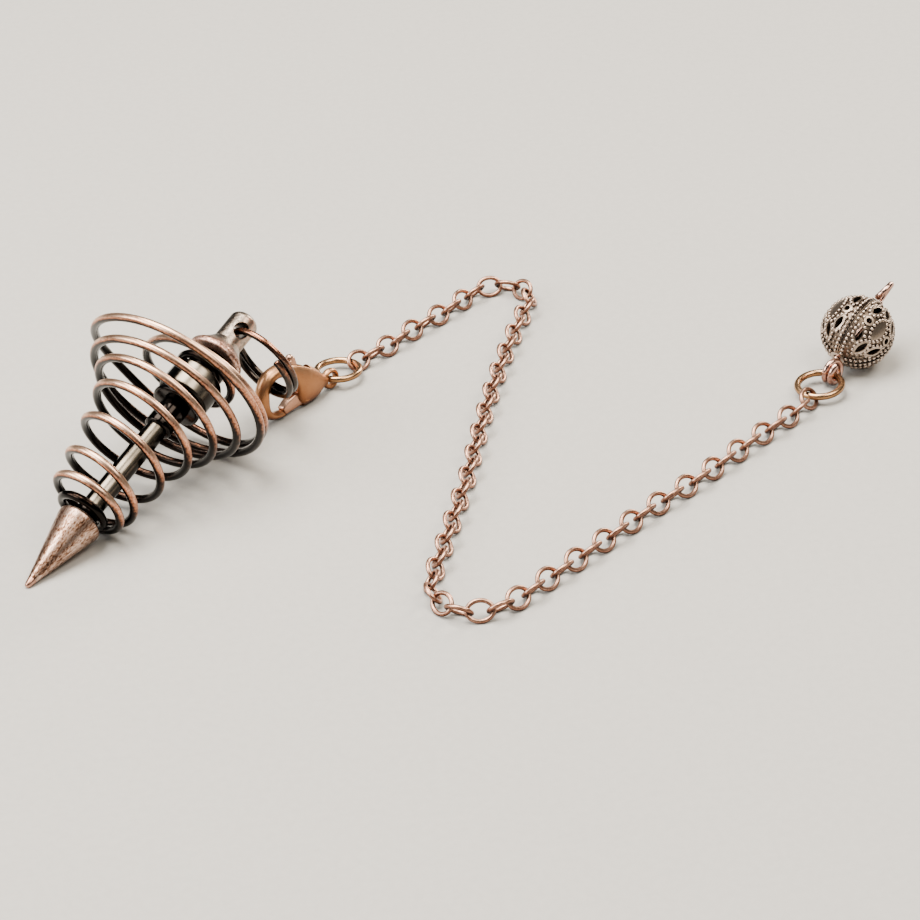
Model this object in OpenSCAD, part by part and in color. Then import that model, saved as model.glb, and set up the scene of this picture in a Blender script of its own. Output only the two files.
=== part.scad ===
// Pendulum pendant lying on a level surface at z = 0: a turned point, stem and
// hub inside a widening wire cage, a split ring, a lobster clasp, a cable
// chain, a plain ring and a pierced filigree bead on an eye pin.

/* [Point and stem] */
// Length of the cone from its tip to its shoulder
cone_l = 12; // [10:0.5:13]
// Diameter of the cone at its shoulder
cone_d = 6.1; // [5.4:0.1:6.4]
// Radius of the cone's rounded tip
tip_r = 0.4; // [0.3:0.05:0.6]
// Diameter of the neck above the cone, where the cage's wire ends
neck_d = 3.4; // [3.2:0.1:3.8]
// Length of the neck
neck_l = 2; // [1.6:0.1:2.4]
// Diameter of the stem
stem_d = 3; // [2.4:0.1:3.1]
// Length of the stem between the neck and its collar
stem_l = 15; // [14:0.1:15.4]
// Diameter of the dark collar at the stem's upper end
stem_collar_d = 3.9; // [3.6:0.1:4.4]
// Length of that collar
stem_collar_l = 4.2; // [3.8:0.1:4.6]

/* [Hub and bell] */
// Diameter of the dark disc below the barrel
disc_d = 7; // [6:0.1:7.2]
// Thickness of the disc
disc_t = 1; // [0.8:0.1:1.2]
// Diameter of the polished barrel
barrel_d = 7.4; // [6.6:0.1:7.8]
// Length of the barrel
barrel_l = 4.4; // [4:0.1:4.6]
// Diameter of the waists on either side of the barrel
waist_d = 5.4; // [4.8:0.1:5.8]
// Length of the lower waist
waist_l = 0.5; // [0.4:0.1:0.8]
// Length of the upper waist, where the cage's wire is clamped
clamp_l = 3.2; // [3:0.1:4]
// Diameter of the bell's rim
bell_d = 8.1; // [7.8:0.1:9]
// Height of the bell from its rim to the lug
bell_l = 3.2; // [2.8:0.1:3.6]
// Diameter of the round lug
lug_d = 4.1; // [4:0.1:4.5]
// Length of the lug up to its domed end
lug_l = 4.2; // [4:0.1:4.6]
// Height of the lug's domed end
dome_l = 1.3; // [1:0.1:1.6]
// Diameter of the cross hole in the lug
lug_hole_d = 1.9; // [1.8:0.05:2]

/* [Wire cage] */
// Diameter of the cage's wire
cage_wire = 1.15; // [1:0.05:1.25]
// Distance from the tip to the cage's widest turn, along its axis
cage_reach = 36; // [35:0.25:37]
// Centre-line radius of the widest turn
cage_r = 13.5; // [13:0.1:14]

/* [Rings] */
// Wire of the split ring
split_wire = 0.95; // [0.8:0.05:1]
// Centre-line radius of the split ring
split_r = 5.45; // [5.3:0.05:5.6]
// Wire of the plain rings at either end of the chain
ring_wire = 0.95; // [0.8:0.05:1]
// Centre-line radius of those rings
ring_r = 3; // [2.9:0.05:3.2]

/* [Lobster clasp] */
// Distance from the tail eye's centre to the hook's outer end
clasp_l = 14; // [13.8:0.1:14.6]
// Height of the clasp without its nub
clasp_h = 7.7; // [7.4:0.1:8]
// Thickness of the clasp's body at its thickest
clasp_t = 3.2; // [3:0.1:3.6]
// Thickness of the lever
lever_t = 1.3; // [1.1:0.05:1.4]
// Diameter of the lever's rivet
rivet_d = 0.9; // [0.7:0.05:1]
// Diameter of the thumb nub
nub_d = 1.15; // [1:0.05:1.3]
// Outer diameter of the tail eye
tail_d = 3; // [2.8:0.1:3.2]
// Diameter of the hole in the tail eye
tail_hole_d = 1.7; // [1.5:0.05:1.8]

/* [Chain] */
// Number of links
link_n = 69; // [60:1:69]
// Outer length of a link
link_l = 3.81; // [3.7:0.01:3.82]
// Outer width of a link
link_w = 3.05; // [2.95:0.05:3.1]
// Wire of a link
link_wire = 0.46; // [0.42:0.01:0.48]
// How far the links lean to either side in turn
link_lean = 50; // [46:1:56]

/* [Filigree bead] */
// Diameter of the bead over its raised work
bead_d = 10; // [9.6:0.1:10.4]
// Thickness of the bead's wall under its raised work
bead_wall = 0.7; // [0.6:0.05:0.9]
// Height of the raised work
relief = 0.25; // [0.15:0.05:0.35]
// Wire of the eye pin
pin_wire = 0.85; // [0.7:0.05:0.9]
// Centre-line radius of the eyes at either end of the pin
eye_r = 1.45; // [1.4:0.05:1.6]

/* [Hidden] */
$fn = 48;

// Clearance between pieces that stay together, and round the lever's rivet
seat = 0.05;
// Clearance on either side of the lever in its slot
slot_gap = 0.12;
// Clearance between neighbouring links
link_gap = 0.16;

// Middle of the lying jewel in plan, which becomes the origin
middle = [2.68, 3.85];

// Where the tip's centre rests, and how the shaft lies
tip = [-55.9, -24.2];
shaft_heading = 54.3;
shaft_tilt = 16.7;
// The cage lies a little steeper than the shaft that hangs in it
cage_heading = 54.5;
cage_tilt = 20.1;
cage_turn = -24;

function direction(heading, tilt) =
    [cos(tilt) * cos(heading), cos(tilt) * sin(heading), sin(tilt)];
function unit(v) = v / norm(v);
function mix(a, b, t) = a + (b - a) * t;

// Stations along the shaft, from the tip
apex = [tip[0], tip[1], tip_r - tip_r * sin(shaft_tilt)];
shaft_dir = direction(shaft_heading, shaft_tilt);
neck_at = cone_l + 0.3;
stem_at = neck_at + neck_l;
stem_collar_at = stem_at + stem_l;
disc_at = stem_collar_at + stem_collar_l;
barrel_at = disc_at + disc_t + waist_l;
clamp_at = barrel_at + barrel_l;
bell_at = clamp_at + clamp_l;
lug_at = bell_at + bell_l;
dome_at = lug_at + lug_l;
lug_hole_at = lug_at + lug_l * 0.62;
lug_hole = apex + lug_hole_at * shaft_dir;

module on_shaft(s = 0)
    translate(apex) rotate([0, 90 - shaft_tilt, shaft_heading]) translate([0, 0, s])
        children();

// Point on a smooth curve through the rows of p, at the row number u
function smooth(p, u) =
    let (n = len(p) - 1, i = min(n - 1, max(0, floor(u))), t = u - i,
         a = p[max(0, i - 1)], b = p[i], c = p[i + 1], d = p[min(n, i + 2)])
    0.5 * (2 * b + (c - a) * t + (2 * a - 5 * b + 4 * c - d) * t * t
           + (3 * b - a - 3 * c + d) * t * t * t);

// A round wire along a path, with ref square to the path as nearly as can be
module wire(path, d, ref, sides = 12) {
    n = len(path);
    rings = [for (i = [0:n - 1])
        let (t = unit(path[min(n - 1, i + 1)] - path[max(0, i - 1)]),
             side = unit(cross(t, ref)), up = cross(side, t))
        for (k = [0:sides - 1])
            path[i] + d / 2 * (cos(k * 360 / sides) * side + sin(k * 360 / sides) * up)];
    walls = [for (i = [0:n - 2]) for (k = [0:sides - 1])
        let (k2 = (k + 1) % sides)
        [i * sides + k, i * sides + k2, (i + 1) * sides + k2, (i + 1) * sides + k]];
    start = [for (k = [sides - 1:-1:0]) k];
    end = [for (k = [0:sides - 1]) (n - 1) * sides + k];
    polyhedron(rings, concat(walls, [start, end]));
}

// Ring of round wire in the XY plane
module torus(r, d) rotate_extrude() translate([r, 0]) circle(d = d, $fn = 24);

module cone_tip() color("#a07a66") on_shaft() rotate_extrude() {
    flank = atan((cone_d / 2 - tip_r) / cone_l);
    intersection() {
        translate([0, tip_r]) circle(r = tip_r);
        square([tip_r, 2 * tip_r]);
    }
    polygon([[0, tip_r], [tip_r * cos(flank), tip_r * (1 - sin(flank))],
             [cone_d / 2, cone_l - 0.7], [cone_d / 2, cone_l - 0.2],
             [neck_d / 2 + 0.6, neck_at], [neck_d / 2, neck_at],
             [neck_d / 2, stem_at - 0.2], [neck_d / 2 - 0.2, stem_at], [0, stem_at]]);
}

module stem() color("#b9ad9c") on_shaft(stem_at + seat) rotate_extrude()
    polygon([[0, 0], [stem_d / 2, 0], [stem_d / 2, stem_l],
             [stem_collar_d / 2 - 0.2, stem_l], [stem_collar_d / 2, stem_l + 0.2],
             [stem_collar_d / 2, stem_l + stem_collar_l - seat * 2],
             [0, stem_l + stem_collar_l - seat * 2]]);

// Outline of one turned band from z0, l long and d across, with small chamfers
module band(z0, l, d, chamfer) translate([0, z0])
    polygon([[0, 0], [d / 2 - chamfer, 0], [d / 2, chamfer], [d / 2, l - chamfer],
             [d / 2 - chamfer, l], [0, l]]);

module hub() color("#8d8781") on_shaft() rotate_extrude() {
    band(disc_at, disc_t, disc_d, 0.2);
    band(disc_at + disc_t / 2, disc_t / 2 + waist_l + 1, waist_d, 0.01);
    band(barrel_at, barrel_l, barrel_d, 0.3);
    band(clamp_at - 1, clamp_l + 1 - seat, waist_d, 0.01);
}

// The bell's rounded rim, as rows of [in from its widest, up from its edge]
rim_rows = [[0.2, 0], [0, 0.2], [0, 0.6], [0.08, 0.85], [0.25, 1.05]];
// How far the cone between rim and lug is hollowed, and its foot round the lug
flank_hollow = 0.12;
flank_foot = 0.1;

module bell_cap() color("#a8958a") difference() {
    on_shaft() rotate_extrude() {
        rim = [for (row = rim_rows) [bell_d / 2 - row[0], bell_at + row[1]]];
        from = rim[len(rim) - 1];
        to = [lug_d / 2 + flank_foot, lug_at];
        flank = [for (k = [1:8]) mix(from, to, k / 8) - [flank_hollow * sin(k * 22.5), 0]];
        dome = [for (k = [0:8])
            [lug_d / 2 * cos(k * 11.25), dome_at + dome_l * sin(k * 11.25)]];
        polygon(concat([[0, bell_at]], rim, flank, [[lug_d / 2, lug_at]], dome));
    }
    translate(lug_hole) multmatrix(split_frame_at(lug_turn)) lug_drill();
}

// Cross hole along Z with a small countersink at either mouth
sink_l = 0.6;
sink_wide = 0.6;
module lug_drill() {
    cylinder(d = lug_hole_d, h = lug_d * 2, center = true);
    for (side = [0, 1]) mirror([0, 0, side]) translate([0, 0, lug_d / 2 - sink_l])
        cylinder(d1 = lug_hole_d, d2 = lug_hole_d + 2 * sink_wide, h = 2 * sink_l);
}

// The cage, as rows of [share of reach, share of radius], one for each half
// turn from the widest turn to the narrowest
cage_rows = [[0.97, 1], [0.982, 0.94], [0.916, 0.85], [0.912, 0.785], [0.87, 0.715],
             [0.822, 0.65], [0.787, 0.595], [0.718, 0.53], [0.653, 0.515],
             [0.58, 0.45], [0.51, 0.445], [0.44, 0.4], [0.41, 0.385], [0.39, 0.345]];
clamp_r = waist_d / 2 + cage_wire / 2 + seat;
neck_r = neck_d / 2 + cage_wire / 2 + seat;
neck_mid = neck_at + neck_l / 2;
// The wire leaves the clamp over the barrel, as rows of [share of the barrel
// down from the clamp, share of the radius still to grow, half turns]
lead_rows = [[-0.18, 0, -4.6], [-0.17, 0.015, -4.1], [-0.15, 0.1, -3.5],
             [0.03, 0.23, -3], [0.27, 0.32, -2.5], [0.43, 0.39, -2]];
// How fast it turns from the shaft's axis to the cage's own as it grows
axis_share = 1.7;
// Its last turn before the widest, as rows of [share of reach, share of
// radius, share of the shaft's own axis, half turns]
rise_rows = [[1.012, 0.89, 0.1, -1.5], [1.03, 0.94, 0, -1], [1.055, 0.935, 0, -0.5]];
// Centre line as rows of [station, radius, share of the shaft's own axis,
// half turns from the widest turn]
cage_line = concat(
    [for (row = lead_rows)
        [clamp_at - row[0] * barrel_l, mix(clamp_r, cage_r, row[1]),
         1 - axis_share * row[1], row[2]]],
    [for (row = rise_rows) [row[0] * cage_reach, row[1] * cage_r, row[2], row[3]]],
    [for (k = [0:len(cage_rows) - 1])
        [cage_rows[k][0] * cage_reach, cage_rows[k][1] * cage_r, 0, k]],
    [[neck_mid, mix(neck_r, 0.4 * cage_r, 0.35), 0.7, len(cage_rows)],
     [neck_mid, neck_r, 1, len(cage_rows) + 1]]);
cage_steps = 12;

function cage_point(u) =
    let (row = smooth(cage_line, u), angle = 180 * row[3] + cage_turn,
         along = mix(direction(cage_heading, cage_tilt), shaft_dir, row[2]),
         left = [-sin(cage_heading), cos(cage_heading), 0],
         up = cross(direction(cage_heading, cage_tilt), left))
    apex + row[0] * along + row[1] * (cos(angle) * up - sin(angle) * left);

module spiral_cage() color("#c58e78") wire(
    [for (k = [0:cage_steps * (len(cage_line) - 1)]) cage_point(k / cage_steps)],
    cage_wire, direction(cage_heading, cage_tilt));

// The split ring's plane, and turns counted from its top towards the viewer
split_normal = direction(43.7, 18.8);
split_up = unit([0, 0, 1] - split_normal * split_normal[2]);
split_side = cross(split_normal, split_up);
split_start = 60;
split_end = 652;
lug_turn = 325;
split_pitch = split_wire + 0.06;

function split_radial(turn) = cos(turn) * split_up + sin(turn) * split_side;
function split_tangent(turn) = cos(turn) * split_side - sin(turn) * split_up;
function split_shift(turn) = split_pitch * (turn - lug_turn) / 360;
// The wire bows inside the lug's hole, so its middle sits off centre
lug_bow = lug_d * lug_d / (32 * split_r);
split_mid = lug_hole - (split_r - lug_bow) * split_radial(lug_turn);
function split_point(turn) =
    split_mid + split_r * split_radial(turn) + split_shift(turn) * split_normal;

// Axes at a turn of the ring, with Z along the wire
function split_frame_at(turn) =
    let (x = split_radial(turn), z = split_tangent(turn), y = cross(z, x))
    [[x[0], y[0], z[0], 0], [x[1], y[1], z[1], 0], [x[2], y[2], z[2], 0], [0, 0, 0, 1]];

split_step = 8;
module split_ring() color("#b98673") wire(
    [for (turn = [split_start:split_step:split_end]) split_point(turn)],
    split_wire, split_normal);

// The clasp's axes: from the tail eye to the hook, up to its spine, and across
clasp_x = unit([-0.694, -0.699, 0.173]);
clasp_z = unit(cross(clasp_x, [0.064, 0.179, 0.982]));
clasp_y = cross(clasp_z, clasp_x);
// The hook holds the split ring at this turn, at these shares of the clasp's
// length, height and thickness from the middle of the tail eye
hold_turn = 188;
hold_share = [0.8145, 0.1659, 0.0659];
clasp_hang = split_point(hold_turn) - hold_share[0] * clasp_l * clasp_x
    - hold_share[1] * clasp_h * clasp_y - hold_share[2] * clasp_t * clasp_z;
// The tail eye lies this high, unless the ring lifts it
clasp_rest = 1.6;
clasp_at = [clasp_hang[0], clasp_hang[1], max(clasp_rest, clasp_hang[2])];

module in_clasp() translate(clasp_at)
    multmatrix([[clasp_x[0], clasp_y[0], clasp_z[0], 0], [clasp_x[1], clasp_y[1], clasp_z[1], 0],
                [clasp_x[2], clasp_y[2], clasp_z[2], 0], [0, 0, 0, 1]])
        children();

// The casting from tail to hook tip, as rows of [spine along, spine up, inner
// edge along, inner edge up, thickness], all shares of the clasp's sizes
clasp_rows = [
    [0.06, 0.09, 0.06, -0.09, 0.4], [0.13, 0.16, 0.13, -0.13, 0.6],
    [0.215, 0.3, 0.205, -0.24, 0.78], [0.335, 0.435, 0.305, -0.305, 0.94],
    [0.445, 0.52, 0.415, -0.32, 1], [0.515, 0.56, 0.48, -0.17, 0.97],
    [0.585, 0.585, 0.525, 0.105, 0.9], [0.655, 0.6, 0.605, 0.285, 0.81],
    [0.755, 0.585, 0.73, 0.35, 0.75], [0.885, 0.495, 0.825, 0.28, 0.72],
    [0.97, 0.285, 0.862, 0.15, 0.69], [0.995, 0.05, 0.862, 0.015, 0.69],
    [0.97, -0.155, 0.855, -0.105, 0.66], [0.905, -0.325, 0.83, -0.21, 0.6],
    [0.8, -0.4, 0.77, -0.265, 0.53], [0.64, -0.4, 0.65, -0.27, 0.5]];
clasp_sides = 20;

function clasp_section(row) =
    let (outer = [row[0] * clasp_l, row[1] * clasp_h, 0],
         inner = [row[2] * clasp_l, row[3] * clasp_h, 0])
    [for (k = [0:clasp_sides - 1])
        mix(inner, outer, 0.5 + 0.5 * cos(k * 360 / clasp_sides))
        + [0, 0, row[4] * clasp_t / 2 * sin(k * 360 / clasp_sides)]];

module clasp_casting() {
    steps = 3;
    n = steps * (len(clasp_rows) - 1);
    points = [for (k = [0:n]) each clasp_section(smooth(clasp_rows, k / steps))];
    walls = [for (i = [0:n - 1]) for (k = [0:clasp_sides - 1])
        let (a = i * clasp_sides + k, b = i * clasp_sides + (k + 1) % clasp_sides)
        [a, a + clasp_sides, b + clasp_sides, b]];
    start = [for (k = [0:clasp_sides - 1]) k];
    end = [for (k = [clasp_sides - 1:-1:0]) n * clasp_sides + k];
    polyhedron(points, concat(walls, [start, end]));
}

// The lever turns on the rivet: its gate closes the hook, its nub sticks out
// of the spine, and lever_turn degrees open it
rivet = [0.395 * clasp_l, -0.145 * clasp_h];
lever_turn = 24;
gate_tip = [0.672 * clasp_l, -0.325 * clasp_h];
nub = [0.553 * clasp_l, 0.64 * clasp_h];
barrel_r = 0.95;
arm_r = 0.42;

module clasp_slot() linear_extrude(lever_t + 2 * slot_gap, center = true) difference() {
    union() {
        for (reach = [[nub, arm_r], [gate_tip, 0.75]])
            hull() {
                translate(rivet) circle(r = barrel_r + slot_gap, $fn = 32);
                for (turn = [0, lever_turn])
                    translate(rivet) rotate(turn) translate((reach[0] - rivet) * 1.05)
                        circle(r = reach[1] + slot_gap + 0.1, $fn = 32);
            }
        hull() for (turn = [0, lever_turn / 2, lever_turn])
            translate(rivet) rotate(turn) translate(-rivet)
                offset(delta = slot_gap) gate_outline();
    }
    past_joint(0);
}

// The joint between the hook's tip and the gate slants by this, and its gap
joint_slant = -24;
joint_gap = 0.06;
// Everything past that joint
module past_joint(clear) translate(gate_tip + [clear, 0]) rotate(joint_slant)
    translate([0, -clasp_h / 4]) square([clasp_l / 2, clasp_h / 2]);

module clasp_body() color("#b9784e") in_clasp() difference() {
    union() {
        difference() {
            clasp_casting();
            clasp_slot();
            linear_extrude(2 * clasp_t, center = true) hook_tip_cut();
        }
        cylinder(d = tail_d, h = 1.1, center = true);
    }
    cylinder(d = tail_hole_d, h = clasp_t, center = true);
    translate(rivet) cylinder(d = rivet_d + 0.02, h = 2 * clasp_t, center = true);
}

// What the hook's tip loses so that the gate can shut against it
module hook_tip_cut() intersection() {
    translate(gate_tip) rotate(joint_slant)
        translate([-4, -2]) square([4 + joint_gap, 4]);
    translate(gate_tip - [2, 1.2]) square([4, 2.2]);
}

module clasp_rivet() color("#a86c48") in_clasp()
    translate(rivet) cylinder(d = rivet_d, h = 0.76 * clasp_t, center = true);

module clasp_lever() color("#c98a6b") in_clasp() difference() {
    union() {
        linear_extrude(lever_t, center = true) {
            translate(rivet) circle(r = barrel_r);
            gate_outline();
            polygon([rivet - [0.6, 0], rivet + [0.7, 0], nub + [0.42, -0.3], nub - [0.42, 0.3]]);
        }
        translate(nub) sphere(d = nub_d);
    }
    translate(rivet) cylinder(d = rivet_d + 2 * seat, h = 2 * lever_t, center = true);
}

// The gate, from the slanted joint back to the rivet
module gate_outline() difference() {
    polygon([rivet + [0, -0.9], gate_tip + [0.6, -0.5], gate_tip + [0.6, 0.45],
             gate_tip + [-0.75, 1.6], gate_tip + [-2.2, 2.2], rivet + [0, 0.9]]);
    past_joint(-joint_gap);
}

// How high the middle of a leaning link lies
link_middle = (link_w - link_wire) / 2 * sin(link_lean) + link_wire / 2;
// From a joint of the chain to the centre line of a plain ring that it holds
ring_hold = ring_wire / 2 + link_gap / 2;

// Ring in the clasp's tail eye, nearly flat
clasp_ring_heading = 66;
clasp_ring_tilt = asin((clasp_at[2] - link_middle) / (2 * ring_r));
// Room between the ring's wire and the middle of the tail eye
tail_room = 0.22;
clasp_ring_at = [clasp_at[0] + (ring_r - tail_room) * cos(clasp_ring_heading),
                 clasp_at[1] + (ring_r - tail_room) * sin(clasp_ring_heading)];
module clasp_ring() color("#c58a5f")
    translate(concat(clasp_ring_at, link_middle + ring_r * sin(clasp_ring_tilt)))
        rotate(clasp_ring_heading) rotate([0, clasp_ring_tilt, 0]) torus(ring_r, ring_wire);

// The chain's route over the surface to the end ring, measured from the middle
// of the clasp's ring
chain_offsets = [
    [2.12, 1.96], [7.12, 6.16], [10.82, 10.56], [14.52, 14.16], [17.52, 17.46],
    [20.32, 20.96], [23.62, 21.96], [25.82, 21.26], [27.82, 18.06], [26.92, 14.16],
    [25.62, 9.86], [23.52, 2.16], [21.32, -7.14], [18.92, -19.14], [17.02, -29.84],
    [14.72, -40.34], [12.62, -49.74], [11.42, -55.34], [12.62, -59.64], [16.42, -61.84],
    [20.92, -60.44], [26.12, -55.44], [33.32, -48.04], [40.72, -40.34], [47.42, -33.94],
    [55.62, -25.14], [61.32, -19.44], [64.42, -14.84], [67.12, -8.84]];
chain_route = [for (offset = chain_offsets) clasp_ring_at + offset];
link_pitch = link_l - 2 * link_wire - link_gap;
route_steps = 16;
route = [for (k = [0:route_steps * (len(chain_route) - 1)])
    smooth(chain_route, k / route_steps)];

// The last sample of p that is still less than step away from q
function sample_before(p, i, q, step) =
    i >= len(p) - 2 || norm(p[i + 1] - q) >= step ? i : sample_before(p, i + 1, q, step);
// The point of the line from a to b that is step away from q
function at_distance(a, b, q, step) =
    let (d = b - a, m = a - q, along = d * m)
    a + d * (sqrt(along * along - d * d * (m * m - step * step)) - along) / (d * d);

first_run = unit(chain_route[1] - clasp_ring_at);
first_joint = clasp_ring_at + (ring_r - ring_hold) * first_run;
joints = [for (k = 0, i = 0, q = first_joint; k <= link_n;
    i = sample_before(route, i, q, link_pitch),
    q = at_distance(route[i], route[i + 1], q, link_pitch), k = k + 1) q];

// One link, lying in the XY plane with its length along X
module link() {
    bend = (link_w - link_wire) / 2;
    rod = link_l - link_w;
    for (side = [0, 1]) mirror([side, 0, 0]) {
        translate([rod / 2, 0, 0]) rotate(-90)
            rotate_extrude(angle = 180) translate([bend, 0]) circle(d = link_wire, $fn = 16);
        translate([0, side * 2 * bend - bend, 0]) rotate([0, 90, 0])
            cylinder(d = link_wire, h = rod, center = true, $fn = 16);
    }
}

module chain() color("#c9917a") for (k = [0:link_n - 1]) {
    run = joints[k + 1] - joints[k];
    lean = k % 2 == 0 ? link_lean : -link_lean;
    translate(concat((joints[k] + joints[k + 1]) / 2, link_middle))
        rotate([lean, 0, atan2(run[1], run[0])]) link();
}

// Ring at the chain's end, held up between the last link and the eye pin
last_joint = joints[link_n];
last_run = [cos(61), sin(61)];
end_ring_tilt = 3.5;
end_ring_roll = -1;
end_ring_heading = atan2(last_run[1], last_run[0]);
end_ring_at = concat(last_joint + (ring_r - ring_hold) * last_run,
                     link_middle + ring_r * sin(end_ring_tilt));
module end_ring() color("#b98c62") translate(end_ring_at)
    rotate([end_ring_roll, -end_ring_tilt, end_ring_heading]) torus(ring_r, ring_wire);

// Direction from the end ring's middle to its wire at an angle from last_run
function end_ring_way(angle) =
    let (x = cos(angle), y = sin(angle) * cos(end_ring_roll), z = sin(angle) * sin(end_ring_roll),
         along = x * cos(end_ring_tilt) - z * sin(end_ring_tilt),
         h = end_ring_heading)
    [along * cos(h) - y * sin(h), along * sin(h) + y * cos(h),
     x * sin(end_ring_tilt) + z * cos(end_ring_tilt)];

// The pin's axis runs up through the bead, from the eye in the end ring
pin_heading = 44.5;
pin_tilt = 24.2;
pin_dir = direction(pin_heading, pin_tilt);
bead_r = bead_d / 2;
eye_out = bead_r + 0.3 + pin_wire / 2 + eye_r;
// The eye stands on the ring's wire with this much room round it, leans out by
// a share, and its coil is centred over the wire
eye_play = eye_r - (ring_wire + pin_wire) / 2 - 0.08;
eye_lean = 0.4;
coil_half = 0.75;
hang_turn = -12;
hang_run = end_ring_way(hang_turn);
near_normal = -unit(cross(pin_dir, cross(end_ring_way(hang_turn + 90), pin_dir)));
near_eye = end_ring_at + ring_r * hang_run + eye_play * unit([0, 0, 1] + eye_lean * hang_run)
    - coil_half * near_normal;
bead_at = near_eye + eye_out * pin_dir;
far_eye = bead_at + eye_out * pin_dir;
far_normal = unit([-0.706, 0.37, 0.604]);

// The wire bends this far outside the eye, and runs straight before the bend
bend_out = 0.8 * pin_wire;
shank_lead = 0.4;
// Half way in it has swung aside by this share of the eye, which it joins at
// this angle from run
bend_swing = 0.06;
eye_start = 202;
eye_step = 12;
// Room between the turns of an eye
coil_gap = 0.12;

// An eye whose wire comes in along run and closes turns times, side by side
function eye_path(at, run, normal, turns) =
    let (side = cross(normal, run), bend = at - run * (eye_r + bend_out))
    concat([bend - shank_lead * run, bend,
            mix(bend, at - run * eye_r, 0.55) + side * eye_r * bend_swing],
        [for (a = [eye_start:eye_step:eye_start + turns * 360])
            at + eye_r * (cos(a) * run + sin(a) * -side)
            + normal * (a - eye_start) / 360 * (pin_wire + coil_gap)]);

module eye_pin() color("#c98f78") {
    wire(eye_path(far_eye, pin_dir, far_normal, 0.9), pin_wire, far_normal);
    wire(eye_path(near_eye, -pin_dir, near_normal, 1.7), pin_wire, near_normal);
    translate(bead_at) rotate([0, 90 - pin_tilt, pin_heading])
        cylinder(d = pin_wire - 0.05, h = 2 * (eye_out - eye_r - bend_out - shank_lead / 2),
                 center = true);
}

// The bead's pattern repeats in four gores, alike above and below its middle
bead_turn = -117;
gores = 4;
shell_r = bead_r - relief;
leaf_l = 2.2;
leaf_w = 0.9;
leaf_rim = 0.28;
dot_d = 0.85;
petal_l = 3.6;
petal_w = 1.7;
// Openings of a gore, as rows of [latitude, longitude from its middle, slant]
leaves = [[40, 0, 0], [27, 23, 18], [27, -23, -18]];

// Leaf outline l long and w wide, lying along X
module leaf(l, w) {
    r = (l * l + w * w) / (4 * w);
    intersection() {
        translate([0, r - w / 2]) circle(r = r);
        translate([0, w / 2 - r]) circle(r = r);
    }
}

// Puts a child that faces +Z, with its length along X, on the bead's surface
module on_bead(lat, lon) rotate([0, 0, lon]) rotate([0, 90 - lat, 0])
    translate([0, 0, bead_r * 0.7]) children();

module each_leaf() for (g = [0:gores - 1]) for (half = [1, -1]) for (row = leaves)
    on_bead(half * row[0], g * 360 / gores + row[1]) rotate(half * row[2]) children();

module each_dot() for (g = [0:gores - 1]) for (side = [1, -1])
    on_bead(0, g * 360 / gores + side * 24) children();

module bead_relief() intersection() {
    sphere(r = bead_r);
    union() {
        for (g = [0:gores - 1]) {
            on_bead(0, g * 360 / gores) linear_extrude(bead_r) leaf(petal_l, petal_w);
            rotate((g + 0.5) * 360 / gores) rotate([90, 0, 0])
                translate([0, 0, -0.2]) linear_extrude(0.4) square([bead_r, 2 * bead_r], true);
        }
        each_leaf() linear_extrude(bead_r) leaf(leaf_l + 3 * leaf_rim, leaf_w + 2 * leaf_rim);
        each_dot() cylinder(d = dot_d + 2 * leaf_rim, h = bead_r);
    }
}

module filigree_bead() color("#8f7a6d")
    translate(bead_at) rotate([0, 90 - pin_tilt, pin_heading]) rotate(bead_turn) difference() {
        union() {
            sphere(r = shell_r);
            bead_relief();
            cylinder(r = 1.1, h = 2 * bead_r, center = true);
        }
        sphere(r = shell_r - bead_wall);
        each_leaf() linear_extrude(bead_r) leaf(leaf_l, leaf_w);
        each_dot() cylinder(d = dot_d, h = bead_r);
        cylinder(d = pin_wire + 0.3, h = 3 * bead_r, center = true);
    }

module placed() translate([-middle[0], -middle[1], 0]) children();

placed() cone_tip();
placed() stem();
placed() hub();
placed() bell_cap();
placed() spiral_cage();
placed() split_ring();
placed() clasp_body();
placed() clasp_rivet();
placed() clasp_lever();
placed() clasp_ring();
placed() chain();
placed() end_ring();
placed() eye_pin();
placed() filigree_bead();
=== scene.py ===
# %% [markdown]
# This jewel is a dowsing pendulum that lies on a table: a turned point, stem and
# bell stand in a cage of spiral wire, and a split ring, a lobster clasp and a
# cable chain lead to a pierced bead. All of it is brass, plated with copper or
# bronze, which was darkened with an antique finish and then rubbed bright where a
# cloth reached. The CAD model gives every place and size, so the script starts
# from it.

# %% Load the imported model
import math
import bmesh
import bpy
import numpy as np
from mathutils import Matrix, Vector


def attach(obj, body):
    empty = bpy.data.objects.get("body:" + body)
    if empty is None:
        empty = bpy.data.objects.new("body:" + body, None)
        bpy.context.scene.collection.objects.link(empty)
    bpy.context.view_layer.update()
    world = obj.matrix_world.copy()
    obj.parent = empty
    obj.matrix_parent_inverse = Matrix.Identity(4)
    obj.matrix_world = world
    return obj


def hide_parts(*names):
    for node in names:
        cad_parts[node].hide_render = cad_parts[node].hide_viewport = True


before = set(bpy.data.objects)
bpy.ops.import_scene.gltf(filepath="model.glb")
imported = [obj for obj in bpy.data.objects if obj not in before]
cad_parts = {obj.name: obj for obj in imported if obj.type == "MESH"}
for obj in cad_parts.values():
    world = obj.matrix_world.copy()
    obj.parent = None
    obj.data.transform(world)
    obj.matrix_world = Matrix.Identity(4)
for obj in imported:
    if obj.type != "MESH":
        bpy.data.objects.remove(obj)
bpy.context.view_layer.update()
MM = 0.001
JEWEL = "pendulum"
print("nodes:", sorted(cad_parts))

# %% [markdown]
# The camera comes first, because it decides how large every detail shows. The
# photograph was taken with a long lens from about 430 mm away, 31.5 degrees
# above the table, and rolled by almost four degrees. Its place was solved from the
# photograph beforehand, so it is simply written down.

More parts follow.
